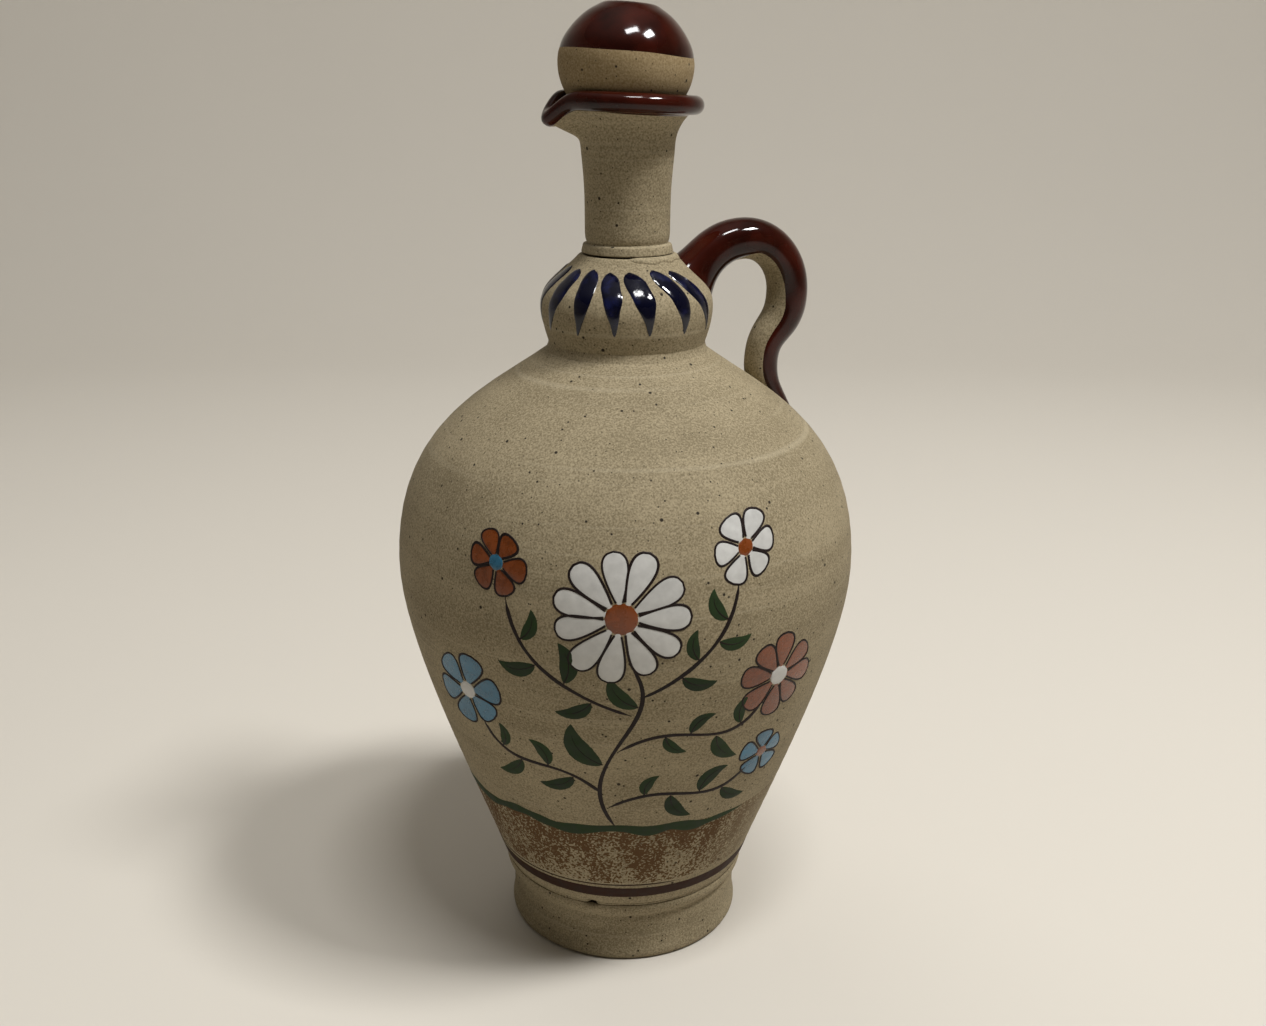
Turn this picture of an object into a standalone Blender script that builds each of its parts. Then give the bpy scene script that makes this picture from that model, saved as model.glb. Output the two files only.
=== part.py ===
"""Stoneware jug with a strap handle, a pouring lip and a ball stopper.

The jug is built from a potter's own pieces: a foot ring, a thrown body, a bulbed collar and a neck
are luted one on another, and a pulled handle joins the collar to the shoulder. A ball with a cork
plug closes the mouth.

Units are metres and +Z is up. The origin is the centre of the foot on the table. The handle is at
+X and the pouring lip at -X.
"""

import math

import bmesh
import bpy
from mathutils import Vector

# Fits
SEAM = 0.0003  # slip line between two luted pieces
STOPPER_GAP = 0.0003  # between the ball and the rim it rests on
CORK_GAP = 0.0003  # round the cork, in its socket and in the bore

# Foot ring
FOOT_HEIGHT = 0.0220
FOOT_RADIUS = 0.0382  # widest, just above the table
FOOT_WAIST_DEPTH = 0.0009  # how far the plain band draws in above its edge
FOOT_BAND_HEIGHT = 0.0163  # plain band, up to the bead under the seam
FOOT_NECK_RADIUS = 0.0383  # hollow between the band and the bead
BEAD_BULGE = 0.00045
FOOT_WALL = 0.0085
FOOT_EDGE = 0.0018  # rounding of the edges on the table
FOOT_PULLS = (0.33, 0.75)  # where the band draws in most, as shares of its height

# Body, measured up from its own floor
BASE_RADIUS = 0.0402  # where the body meets the foot ring
BELLY_RADIUS = 0.0712
BELLY_HEIGHT = 0.1047
SHOULDER_HEIGHT = 0.0666  # belly line to the collar's seat
SEAT_RADIUS = 0.0233  # outside of the body's mouth, where the collar sits
BODY_WALL = 0.0050
FLOOR_THICKNESS = 0.0060
BASE_SLOPE = math.radians(17.5)  # lower flank, from upright
SEAT_SLOPE = math.radians(53.0)  # shoulder at the seat, from upright
FLANK_PULL = 0.21  # how far each end's slope holds, as a share of its stretch
BELLY_LOW_PULL = 0.247
BELLY_HIGH_PULL = 0.63
SEAT_PULL = 0.54

# Collar, measured up from its seat on the body
COLLAR_HEIGHT = 0.0270
COLLAR_RADIUS = 0.0258
COLLAR_BULGE_HEIGHT = 0.0123
COLLAR_TOP_RADIUS = 0.0143
COLLAR_WALL = 0.0046
CREASE_SLOPE = math.radians(17.0)  # at the seat, from upright
CROWN_SLOPE = math.radians(41.0)  # at the top, from upright
CREASE_PULL = 0.36  # how far each end's slope holds, as a share of its stretch
BULGE_LOW_PULL = 0.41
BULGE_HIGH_PULL = 0.42
CROWN_PULL = 0.38

# Neck, measured up from its seat on the collar
NECK_HEIGHT = 0.0426  # seat to the middle of the rolled rim
NECK_RADIUS = 0.01235
RIDGE_RADIUS = 0.0137  # widest, at the foot of the ridge
RIDGE_TOP_RADIUS = 0.0131
RIDGE_HEIGHT = 0.0032
RIDGE_EDGE = 0.0004  # slant of the ridge's upper and lower edge
BORE_RADIUS = 0.0086
BORE_HEIGHT = 0.0218  # straight part of the bore
RIM_RADIUS = 0.0192  # axis to the middle of the rolled rim
ROLL_RADIUS = 0.0025
ROLL_START = math.radians(-115.0)  # where the flare's outside meets the roll
ROLL_END = math.radians(190.0)  # where the bore's flare leaves it
TUBE_PULL = 0.55  # how long the tube stays straight, as a share of its run
FLARE_PULL = (1.00, 0.133)  # how far out and down the flare's slope holds under the roll
BORE_PULL = 0.36
MOUTH_PULL = (0.50, 0.26)

# Pouring lip, pulled out of the rim
LIP_REACH = 0.0037
LIP_DROP = 0.0043
LIP_SPREAD = math.radians(14.0)
LIP_DEPTH = 0.0105  # how far down the neck the pull reaches

# Handle
ROOT_HEIGHT = 0.0205  # over the collar's seat
ROOT_SLOPE = math.radians(45.0)
ARCH_RISE = 0.0098  # root to the top of the arch
ARCH_SPAN = 0.0163
GRIP_SPAN = 0.0311  # root to the outermost strap
GRIP_FALL = 0.0066
TIP_DROP = 0.0237  # below the body's mouth, where the tail's tip lies on the shoulder
KNEE_TUCK = 0.0109  # from the tip in to the knee, where the tail turns out again
KNEE_RISE = 0.0152
ROOT_SINK = 0.0050  # stretch of strap that is cut away inside the collar
TIP_SINK = 0.0010  # depth of the tip's end under the shoulder
ROOT_THICKNESS = 0.0210
STRAP_THICKNESS = 0.0122
TAIL_THICKNESS = 0.0102
TIP_THICKNESS = 0.0016
ROOT_WIDTH = 0.0190
STRAP_WIDTH = 0.0140
TAIL_WIDTH = 0.0112
TIP_WIDTH = 0.0050
BOW_PULL = 0.5523  # turns a quarter of a round
TAIL_PULL = 0.40
FLARE_POWER = 5  # how soon the flared root narrows to the strap

# Stopper
BALL_OVERHANG = 0.0028  # ball's widest, past the inner edge of the rim
BALL_TOP = 0.0161  # middle of the ball to the flat on its crown
BALL_FLAT_RADIUS = 0.0071
BALL_UNDERSIDE = 0.0179  # middle of the ball to its lowest point, were it not cut
CORK_INSERTION = 0.0110  # length of cork inside the bore
CORK_TAPER = math.radians(1.5)
CORK_CHAMFER = 0.0010
SOCKET_DEPTH = 0.0090
SOCKET_LAND = 0.0016  # flat ring round the socket's mouth

# Faceting
TURN_STEPS = 48
NECK_STEPS = 64  # finer, for the pouring lip
STRAP_SIDES = 16
STRAP_STEPS = 8
MERGE = 0.00001
SHARP_EDGE = math.radians(40.0)

# Heights of the seats over the table
BODY_BASE = FOOT_HEIGHT + SEAM
BODY_TOP = BELLY_HEIGHT + SHOULDER_HEIGHT
COLLAR_BASE = BODY_BASE + BODY_TOP + SEAM
NECK_BASE = COLLAR_BASE + COLLAR_HEIGHT + SEAM

# The ball is sized to the mouth it closes
BALL_RADIUS = RIM_RADIUS - ROLL_RADIUS + BALL_OVERHANG

STONEWARE = (0.41, 0.34, 0.27)
BROWN_GLAZE = (0.075, 0.022, 0.013)
CORK = (0.38, 0.22, 0.11)
MATT = 0.85
GLOSSY = 0.18
RAW = 0.9


def material(name, colour, roughness):
    """A Principled material for one piece."""
    made = bpy.data.materials.new(name)
    made.use_nodes = True
    shader = made.node_tree.nodes["Principled BSDF"]
    shader.inputs["Base Color"].default_value = (*colour, 1.0)
    shader.inputs["Roughness"].default_value = roughness
    shader.inputs["Metallic"].default_value = 0.0
    return made


def curve(start, start_pull, end_pull, end, steps):
    """Points of a cubic Bezier curve, both ends included."""
    points = []
    for step in range(steps + 1):
        t = step / steps
        u = 1.0 - t
        shares = (u**3, 3 * u * u * t, 3 * u * t * t, t**3)
        corners = (start, start_pull, end_pull, end)
        points.append(tuple(sum(k * c[axis] for k, c in zip(shares, corners)) for axis in (0, 1)))
    return points


def arc(centre, radius, start, end, steps):
    """Points of a circular arc in the (radius, height) plane."""
    points = []
    for step in range(steps + 1):
        angle = start + (end - start) * step / steps
        points.append((centre[0] + radius * math.cos(angle), centre[1] + radius * math.sin(angle)))
    return points


def grown(outline, distance):
    """An upward outline moved out along its normals, or in for a negative distance."""
    moved = []
    for index, point in enumerate(outline):
        before = outline[max(index - 1, 0)]
        after = outline[min(index + 1, len(outline) - 1)]
        run = Vector((after[0] - before[0], after[1] - before[1])).normalized()
        moved.append((point[0] + run.y * distance, point[1] - run.x * distance))
    return moved


def radius_at(outline, height):
    """Radius of an upward outline at a height."""
    for low, high in zip(outline, outline[1:]):
        if low[1] <= height <= high[1]:
            share = (height - low[1]) / (high[1] - low[1])
            return low[0] + share * (high[0] - low[0])
    raise ValueError("the outline does not reach that height")


def finish_object(name, bm, look, parent, height):
    """Turn a bmesh into a smooth-shaded object at its height under its parent."""
    bmesh.ops.recalc_face_normals(bm, faces=bm.faces)
    mesh = bpy.data.meshes.new(name)
    bm.to_mesh(mesh)
    bm.free()
    mesh.shade_smooth()
    mesh.set_sharp_from_angle(angle=SHARP_EDGE)
    mesh.materials.append(look)
    made = bpy.data.objects.new(name, mesh)
    bpy.context.collection.objects.link(made)
    made.parent = parent
    made.location.z = height
    return made


def turned(outline, steps=TURN_STEPS):
    """Spin an outline once round the axis. It is a closed loop, or runs from axis to axis."""
    bm = bmesh.new()
    verts = [bm.verts.new((radius, 0.0, height)) for radius, height in outline]
    edges = [bm.edges.new(pair) for pair in zip(verts, verts[1:])]
    if outline[0][0] > MERGE:
        edges.append(bm.edges.new((verts[-1], verts[0])))
    bmesh.ops.spin(
        bm, geom=verts + edges, cent=(0, 0, 0), axis=(0, 0, 1), angle=math.tau, steps=steps
    )
    bmesh.ops.remove_doubles(bm, verts=bm.verts, dist=MERGE)
    return bm


def empty(name, parent, height):
    """An empty that carries a group of pieces."""
    made = bpy.data.objects.new(name, None)
    bpy.context.collection.objects.link(made)
    made.parent = parent
    made.location.z = height
    return made


def foot_outline():
    """Closed section of the foot ring: a plain band on its flat face, and a bead under the seam."""
    edge = (FOOT_RADIUS - FOOT_EDGE, FOOT_EDGE)
    outside = arc(edge, FOOT_EDGE, -math.pi / 2, 0.0, 4)
    waist = FOOT_RADIUS - FOOT_WAIST_DEPTH
    band = FOOT_BAND_HEIGHT - FOOT_EDGE
    outside += curve(
        (FOOT_RADIUS, FOOT_EDGE),
        (waist, FOOT_EDGE + FOOT_PULLS[0] * band),
        (waist, FOOT_EDGE + FOOT_PULLS[1] * band),
        (FOOT_NECK_RADIUS, FOOT_BAND_HEIGHT),
        5,
    )[1:]
    for step in range(1, 4):
        share = step / 3
        radius = FOOT_NECK_RADIUS + (BASE_RADIUS - FOOT_NECK_RADIUS) * share
        radius += BEAD_BULGE * math.sin(math.pi * share)
        outside.append((radius, FOOT_BAND_HEIGHT + (FOOT_HEIGHT - FOOT_BAND_HEIGHT) * share))
    inner_edge = (FOOT_RADIUS - FOOT_WALL + FOOT_EDGE, FOOT_EDGE)
    inside = arc(inner_edge, FOOT_EDGE, math.pi, 1.5 * math.pi, 2)
    return outside + [(BASE_RADIUS - FOOT_WALL, FOOT_HEIGHT)] + inside


def body_outline(low_steps=10, high_steps=13):
    """Outside of the body, up from the foot ring to the collar's seat."""
    base = (BASE_RADIUS, 0.0)
    belly = (BELLY_RADIUS, BELLY_HEIGHT)
    seat = (SEAT_RADIUS, BODY_TOP)
    flank_pull = FLANK_PULL * BELLY_HEIGHT / math.cos(BASE_SLOPE)
    flank = curve(
        base,
        (BASE_RADIUS + flank_pull * math.sin(BASE_SLOPE), flank_pull * math.cos(BASE_SLOPE)),
        (BELLY_RADIUS, (1 - BELLY_LOW_PULL) * BELLY_HEIGHT),
        belly,
        low_steps,
    )
    seat_pull = SEAT_PULL * (BELLY_RADIUS - SEAT_RADIUS)
    shoulder = curve(
        belly,
        (BELLY_RADIUS, BELLY_HEIGHT + BELLY_HIGH_PULL * SHOULDER_HEIGHT),
        (
            SEAT_RADIUS + seat_pull * math.sin(SEAT_SLOPE),
            BODY_TOP - seat_pull * math.cos(SEAT_SLOPE),
        ),
        seat,
        high_steps,
    )
    return flank + shoulder[1:]


def body_section():
    """Closed section of the body, from the axis under the floor to the axis over it."""
    mouth = SEAT_RADIUS - BODY_WALL
    wall = grown(body_outline(6, 8), -BODY_WALL)
    wall = [p for p in wall if p[1] > FLOOR_THICKNESS + BODY_WALL and p[0] > mouth + BODY_WALL / 2]
    corner = wall[0][0] - BODY_WALL / 2
    floor = [(0.0, FLOOR_THICKNESS), (corner, FLOOR_THICKNESS)]
    lip = [(mouth, BODY_TOP - BODY_WALL / 2), (mouth, BODY_TOP)]
    inside = floor + wall + lip
    return [(0.0, 0.0)] + body_outline() + inside[::-1]


def collar_outline(low_steps=4, high_steps=8):
    """Outside of the collar, up from its seat on the body to the neck's seat."""
    bulge = (COLLAR_RADIUS, COLLAR_BULGE_HEIGHT)
    crown = COLLAR_HEIGHT - COLLAR_BULGE_HEIGHT
    crease_pull = CREASE_PULL * COLLAR_BULGE_HEIGHT
    low = curve(
        (SEAT_RADIUS, 0.0),
        (SEAT_RADIUS + crease_pull * math.tan(CREASE_SLOPE), crease_pull),
        (COLLAR_RADIUS, (1 - BULGE_LOW_PULL) * COLLAR_BULGE_HEIGHT),
        bulge,
        low_steps,
    )
    crown_pull = CROWN_PULL * crown
    high = curve(
        bulge,
        (COLLAR_RADIUS, COLLAR_BULGE_HEIGHT + BULGE_HIGH_PULL * crown),
        (
            COLLAR_TOP_RADIUS + crown_pull * math.tan(CROWN_SLOPE),
            COLLAR_HEIGHT - crown_pull,
        ),
        (COLLAR_TOP_RADIUS, COLLAR_HEIGHT),
        high_steps,
    )
    return low + high[1:]


def collar_section():
    """Closed section of the collar, a hollow bulb open at both ends."""
    bottom = SEAT_RADIUS - BODY_WALL
    top = COLLAR_TOP_RADIUS - COLLAR_WALL
    wall = grown(collar_outline(3, 5), -COLLAR_WALL)
    margin = COLLAR_WALL / 2
    wall = [p for p in wall if margin < p[1] < COLLAR_HEIGHT - margin and p[0] > top]
    inside = [(bottom, 0.0)] + wall + [(top, COLLAR_HEIGHT - margin), (top, COLLAR_HEIGHT)]
    return collar_outline() + inside[::-1]


def neck_section():
    """Closed section of the neck: ridge, tube, flare and rolled rim outside, and the bore inside."""
    roll = (RIM_RADIUS, NECK_HEIGHT)
    rim = arc(roll, ROLL_RADIUS, ROLL_START, ROLL_END, 11)
    ridge = [
        (NECK_RADIUS, 0.0),
        (RIDGE_RADIUS, RIDGE_EDGE),
        (RIDGE_TOP_RADIUS, RIDGE_HEIGHT - RIDGE_EDGE),
        (NECK_RADIUS, RIDGE_HEIGHT),
    ]
    run = NECK_HEIGHT - RIDGE_HEIGHT
    outside = curve(
        (NECK_RADIUS, RIDGE_HEIGHT),
        (NECK_RADIUS, RIDGE_HEIGHT + TUBE_PULL * run),
        (
            rim[0][0] - FLARE_PULL[0] * (rim[0][0] - NECK_RADIUS),
            rim[0][1] - FLARE_PULL[1] * run,
        ),
        rim[0],
        7,
    )
    flare = NECK_HEIGHT - BORE_HEIGHT
    widening = rim[-1][0] - BORE_RADIUS
    inside = curve(
        (BORE_RADIUS, BORE_HEIGHT),
        (BORE_RADIUS, BORE_HEIGHT + BORE_PULL * flare),
        (rim[-1][0] - MOUTH_PULL[0] * widening, rim[-1][1] - MOUTH_PULL[1] * flare),
        rim[-1],
        6,
    )
    bore = [(BORE_RADIUS, 0.0)] + inside
    return ridge + outside[1:] + rim[1:] + bore[::-1][1:]


def pull_lip(bm):
    """Draw the rim at -X out and down, fading round the mouth and down the neck."""
    for vert in bm.verts:
        turn = math.atan2(vert.co.y, -vert.co.x)
        depth = (vert.co.z - (NECK_HEIGHT - LIP_DEPTH)) / LIP_DEPTH
        depth = min(max(depth, 0.0), 1.0)
        share = math.exp(-((turn / LIP_SPREAD) ** 2)) * smooth_ease(depth)
        radius = math.hypot(vert.co.x, vert.co.y)
        scale = (radius + LIP_REACH * share) / radius
        vert.co.x *= scale
        vert.co.y *= scale
        vert.co.z -= LIP_DROP * share


def ball_height():
    """Middle of the ball over the neck's seat, where its underside just clears the rolled rim."""
    reach = ROLL_RADIUS + STOPPER_GAP
    heights = []
    for step in range(200):
        turn = 0.5 * math.pi * step / 200
        aside = BALL_RADIUS * math.sin(turn) - RIM_RADIUS
        if abs(aside) < reach:
            heights.append(BALL_UNDERSIDE * math.cos(turn) + math.sqrt(reach**2 - aside**2))
    return NECK_HEIGHT + max(heights)


def cork_radius(height):
    """Radius of the cork at a height over the neck's seat, a slip fit where the bore begins."""
    return BORE_RADIUS - CORK_GAP + (height - BORE_HEIGHT) * math.tan(CORK_TAPER)


def ball_cut():
    """Height and radius of the flat ring under the ball, round the socket for the cork."""
    middle = ball_height()
    radius = cork_radius(middle - BALL_UNDERSIDE) + CORK_GAP + SOCKET_LAND
    drop = BALL_UNDERSIDE * math.sqrt(1.0 - (radius / BALL_RADIUS) ** 2)
    return middle - drop, radius


def head_section():
    """Section of the ball from the flat on its crown, down its side and up into the cork's socket."""
    middle = ball_height()
    flat, flat_radius = ball_cut()
    first = math.asin(BALL_FLAT_RADIUS / BALL_RADIUS)
    full_top = BALL_TOP / math.cos(first)
    crown = [(0.0, middle + BALL_TOP)]
    for step in range(9):
        turn = first + (0.5 * math.pi - first) * step / 9
        crown.append((BALL_RADIUS * math.sin(turn), middle + full_top * math.cos(turn)))
    underside = []
    last = math.acos(flat_radius / BALL_RADIUS)
    for step in range(8):
        turn = last * step / 7
        radius = BALL_RADIUS * math.cos(turn)
        underside.append((radius, middle - BALL_UNDERSIDE * math.sin(turn)))
    ceiling = flat + SOCKET_DEPTH
    socket = [
        (cork_radius(flat) + CORK_GAP, flat),
        (cork_radius(ceiling) + CORK_GAP, ceiling),
        (0.0, ceiling),
    ]
    return crown + underside + socket


def cork_section():
    """Section of the tapered cork, from its top inside the ball to its chamfered end in the bore."""
    flat = ball_cut()[0]
    top = flat + SOCKET_DEPTH - CORK_GAP
    end = BORE_HEIGHT - CORK_INSERTION
    return [
        (0.0, top),
        (cork_radius(top), top),
        (cork_radius(BORE_HEIGHT), BORE_HEIGHT),
        (cork_radius(end + CORK_CHAMFER), end + CORK_CHAMFER),
        (cork_radius(end) - CORK_CHAMFER, end),
        (0.0, end),
    ]


def quick_ease(share):
    """Most of the change at the start, for the flared root."""
    return 1 - (1 - share) ** FLARE_POWER


def smooth_ease(share):
    """Even change with a soft start and end, for the strap."""
    return share * share * (3 - 2 * share)


def late_ease(share):
    """Most of the change at the end, for the tail's tip."""
    return share**2


def handle_stretches():
    """The strap's four curves in the XZ plane: root to arch, to grip, to knee, to the tail's tip."""
    root_radius = radius_at(collar_outline(), ROOT_HEIGHT)
    root = Vector((root_radius, COLLAR_BASE + ROOT_HEIGHT))
    out = Vector((math.cos(ROOT_SLOPE), math.sin(ROOT_SLOPE)))
    start = root - out * ROOT_SINK
    arch = root + Vector((ARCH_SPAN, ARCH_RISE))
    grip = root + Vector((GRIP_SPAN, -GRIP_FALL))
    tip_height = BODY_TOP - TIP_DROP
    tip_radius = radius_at(body_outline(), tip_height)
    below_tip = tip_height - TIP_THICKNESS
    down = Vector((radius_at(body_outline(), below_tip) - tip_radius, below_tip - tip_height))
    down.normalize()
    tip = Vector((tip_radius, BODY_BASE + tip_height))
    knee = tip + Vector((-KNEE_TUCK, KNEE_RISE))
    end = tip + Vector((down.y, -down.x)) * TIP_SINK
    rise = arch - start
    fall = grip - arch
    drop = Vector((0, grip.y - knee.y))
    tail = (end - knee).length
    return (
        (start, start + out * BOW_PULL * rise.y, arch - Vector((BOW_PULL * rise.x, 0)), arch),
        (arch, arch + Vector((BOW_PULL * fall.x, 0)), grip - Vector((0, BOW_PULL * fall.y)), grip),
        (grip, grip - drop * BOW_PULL, knee + drop * BOW_PULL, knee),
        (knee, knee - Vector((0, TAIL_PULL * tail)), end - down * TAIL_PULL * tail, end),
    )


def handle_mesh():
    """Loft an oval strap along its curves, wide at the root and drawn to a tip at the tail."""
    thicknesses = (ROOT_THICKNESS, STRAP_THICKNESS, STRAP_THICKNESS, TAIL_THICKNESS, TIP_THICKNESS)
    widths = (ROOT_WIDTH, STRAP_WIDTH, STRAP_WIDTH, TAIL_WIDTH, TIP_WIDTH)
    eases = (quick_ease, smooth_ease, smooth_ease, late_ease)
    stations = []
    for number, stretch in enumerate(handle_stretches()):
        points = curve(*stretch, STRAP_STEPS)
        for step, point in enumerate(points):
            share = step / STRAP_STEPS
            ease = eases[number](share)
            thickness = thicknesses[number] + (thicknesses[number + 1] - thicknesses[number]) * ease
            width = widths[number] + (widths[number + 1] - widths[number]) * ease
            if step > 0 or number == 0:
                stations.append((Vector(point), thickness, width))
    bm = bmesh.new()
    rings = []
    for index, (point, thickness, width) in enumerate(stations):
        before = stations[max(index - 1, 0)][0]
        after = stations[min(index + 1, len(stations) - 1)][0]
        run = (after - before).normalized()
        ring = []
        for side in range(STRAP_SIDES):
            turn = math.tau * side / STRAP_SIDES
            lift = 0.5 * thickness * math.cos(turn)
            across = 0.5 * width * math.sin(turn)
            ring.append(bm.verts.new((point.x - run.y * lift, across, point.y + run.x * lift)))
        rings.append(ring)
    for low, high in zip(rings, rings[1:]):
        for side in range(STRAP_SIDES):
            after = (side + 1) % STRAP_SIDES
            bm.faces.new((low[side], low[after], high[after], high[side]))
    bm.faces.new(rings[0])
    bm.faces.new(rings[-1])
    return bm


def seat_cutter(name, outline, look, parent, height):
    """Solid form of a piece, a seam larger all round, that trims the strap to fit it."""
    grown_outline = grown(outline, SEAM)
    section = [(0.0, grown_outline[0][1])] + grown_outline + [(0.0, grown_outline[-1][1])]
    cutter = finish_object(name, turned(section), look, parent, height)
    cutter.hide_render = True
    cutter.display_type = "WIRE"
    return cutter


def trim(piece, cutter):
    """Cut a piece to its seat."""
    cut = piece.modifiers.new(cutter.name, "BOOLEAN")
    cut.operation = "DIFFERENCE"
    cut.solver = "EXACT"
    cut.object = cutter


def build():
    """Model every piece of the jug and its stopper."""
    for old in list(bpy.data.objects):
        bpy.data.objects.remove(old, do_unlink=True)

    clay_foot = material("foot_stoneware", STONEWARE, MATT)
    clay_body = material("body_stoneware", STONEWARE, MATT)
    clay_collar = material("collar_stoneware", STONEWARE, MATT)
    clay_neck = material("neck_stoneware", STONEWARE, MATT)
    strap_glaze = material("handle_brown_glaze", BROWN_GLAZE, GLOSSY)
    ball_glaze = material("stopper_brown_glaze", BROWN_GLAZE, GLOSSY)
    bark = material("stopper_cork", CORK, RAW)

    jug = empty("jug", None, 0.0)
    finish_object("foot_ring", turned(foot_outline()), clay_foot, jug, 0.0)
    finish_object("body", turned(body_section()), clay_body, jug, BODY_BASE)
    finish_object("collar", turned(collar_section()), clay_collar, jug, COLLAR_BASE)
    neck = turned(neck_section(), NECK_STEPS)
    pull_lip(neck)
    finish_object("neck", neck, clay_neck, jug, NECK_BASE)

    handle = finish_object("handle", handle_mesh(), strap_glaze, jug, 0.0)
    collar_seat = collar_outline()
    shoulder_seat = body_outline()
    trim(handle, seat_cutter("collar_trim", collar_seat, clay_collar, jug, COLLAR_BASE))
    trim(handle, seat_cutter("shoulder_trim", shoulder_seat, clay_body, jug, BODY_BASE))

    stopper = empty("stopper", jug, NECK_BASE)
    finish_object("stopper_head", turned(head_section()), ball_glaze, stopper, 0.0)
    finish_object("stopper_cork", turned(cork_section()), bark, stopper, 0.0)


build()
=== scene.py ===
"""Looks of a thrown stoneware jug with a ball stopper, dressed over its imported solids.

Each operator makes one piece, or a group of like pieces, as closed meshes that follow the solid they
stand for. Lengths are metres and +Z is up. A turn is an angle round +Z from the handle at +X.
"""

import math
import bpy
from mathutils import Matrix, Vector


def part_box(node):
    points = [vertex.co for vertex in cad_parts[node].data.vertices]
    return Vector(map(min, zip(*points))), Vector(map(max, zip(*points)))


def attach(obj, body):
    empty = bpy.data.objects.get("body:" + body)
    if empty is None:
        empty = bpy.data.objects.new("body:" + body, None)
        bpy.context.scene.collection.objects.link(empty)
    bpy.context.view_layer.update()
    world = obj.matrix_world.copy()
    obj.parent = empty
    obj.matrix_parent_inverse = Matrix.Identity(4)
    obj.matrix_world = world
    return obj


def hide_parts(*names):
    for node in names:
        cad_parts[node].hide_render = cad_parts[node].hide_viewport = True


bl_info = {
    "name": "Stoneware Jug",
    "version": (1, 0, 0),
    "blender": (4, 5, 0),
    "location": "View3D > Sidebar > Jug",
    "description": "Dresses the solids of a stoneware jug in clay, glaze and brushed decoration",
    "category": "Object",
}

import bmesh
import bpy
import numpy as np
from bpy.props import FloatProperty, FloatVectorProperty, IntProperty, PointerProperty
from mathutils import Matrix, Vector

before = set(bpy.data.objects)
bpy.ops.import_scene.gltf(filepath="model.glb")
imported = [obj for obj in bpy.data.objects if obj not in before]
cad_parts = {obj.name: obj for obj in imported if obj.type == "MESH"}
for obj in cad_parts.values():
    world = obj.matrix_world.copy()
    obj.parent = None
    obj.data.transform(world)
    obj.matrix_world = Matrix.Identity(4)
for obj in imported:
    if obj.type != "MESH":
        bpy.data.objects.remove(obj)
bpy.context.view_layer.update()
FOOT_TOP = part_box("foot_ring")[1].z
BODY_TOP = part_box("body")[1].z
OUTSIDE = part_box("body")[1].x / 2  # the body's outer wall lies beyond this radius
RIM_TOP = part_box("neck")[1].z
NECK_OUTSIDE = 0.54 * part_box("neck")[1].x  # below its flare, the neck's outer wall lies beyond this radius
BALL_LOW, BALL_HIGH = (corner.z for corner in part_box("stopper_head"))
BALL_PIVOT = 0.47 * BALL_LOW + 0.53 * BALL_HIGH  # the ball leans about this height
COLLAR_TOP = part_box("collar")[1].z

MM = 0.001
ROLL = 2.5 * MM  # radius of the rim's roll
RIDGE_RISE = 3.5 * MM  # top of the neck's ridge over the collar
PHOTO_SIZE = (1266, 1026)  # pixels
SENSOR_WIDTH = 36.0  # millimetres
LAMP_DISTANCE = 1.5
LAMP_AIM = 0.2  # height on the jug that the lamps look at
SAME_PLACE = 1e-6  # points nearer than this are one point
CORNER = math.radians(30.0)  # a sharper turn in a section is a corner, not a curve
CROWN_POINTS = 8  # points across the ball's flat crown
BODY_ROW_SPREAD = 1.1  # the body's rows lie this much further apart than the other rows
SHARP_EDGE = math.radians(50.0)
TORN_PIT = math.radians(-14.5)  # turn of the pit in the foot's crease from the front
LIP_SHORE = math.radians(-61.0)  # turn from the front where the rim's glaze ends highest, beside the lip
SHORE_RISE = 2.8 * MM  # how much higher the rim's glaze ends there
SHORE_SPREAD = math.radians(34.0)
RIM_GLAZE_FALL = 10.2 * MM  # along the clay, from the rim's crest to the glaze's outer edge
MOUTH_LEAN_START = 18 * MM  # under the rim
MOUTH_LEAN_RUN = 15 * MM
CROWN_START = 16 * MM  # under the ball's top
CROWN_RUN = 12 * MM
PIT_DEPTH = 2.4 * MM
PIT_SPREAD = math.radians(1.8)
PIT_RISE = 0.3 * MM  # middle of the torn pit over the crease
PIT_HEIGHT = 0.8 * MM
SEAM_SWAY = 0.15 * MM  # the crease's wander up and down
HOLLOW_FALL = 5.6 * MM  # middle of the foot's hollow under the crease
HOLLOW_HEIGHT = 1.1 * MM
COAT_SINK = 0.03 * MM  # edge of a poured coat under the clay's surface
BRUSH_SINK = 0.02 * MM  # edge of brushed colour under the clay's surface
GLAZE_ROOT = 0.2 * MM  # underside of poured glaze in the clay
RAISED_ROOT = 0.15 * MM  # underside of a petal or a flake in the clay
BRUSH_ROOT = 0.12 * MM  # underside of brushed colour in the clay
BALL_STEPS = 160
PLUG_STEPS = 96
COAT_ROWS = 40
BAND_ASIDE = 0.35  # radians from the front to the sponged band's middle, to the left
STRAP_ROWS = 170
STRAP_SIDES = 56
STRAP_STEPS = 41  # points of each of the strap's curves
PETAL_ROWS = 45
LEAF_STEPS = 31
VEIN_STEPS = 24  # of a leaf's steps, those that its vein runs along
EYE_SHARE = 0.24  # a blossom's eye beside the reach of its petals
EYE_COATS = 2.2  # thickness of a blossom's eye, in coats of brushed colour
DARK_COATS = 1.7  # thickness of outlines and veins, in coats of brushed colour
WHEEL_LEAN = (math.radians(4.0), math.radians(3.0), 0.0)  # the wheel's streaks climb a little


def linear(code):
    """Linear colour of an sRGB hex code."""
    levels = [int(code[i : i + 2], 16) / 255 for i in (0, 2, 4)]
    return tuple(v / 12.92 if v <= 0.04045 else ((v + 0.055) / 1.055) ** 2.4 for v in levels)


def length(name, description, default):
    """A length that a user may change."""
    return FloatProperty(name=name, description=description, default=default, unit="LENGTH", precision=5)


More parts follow.
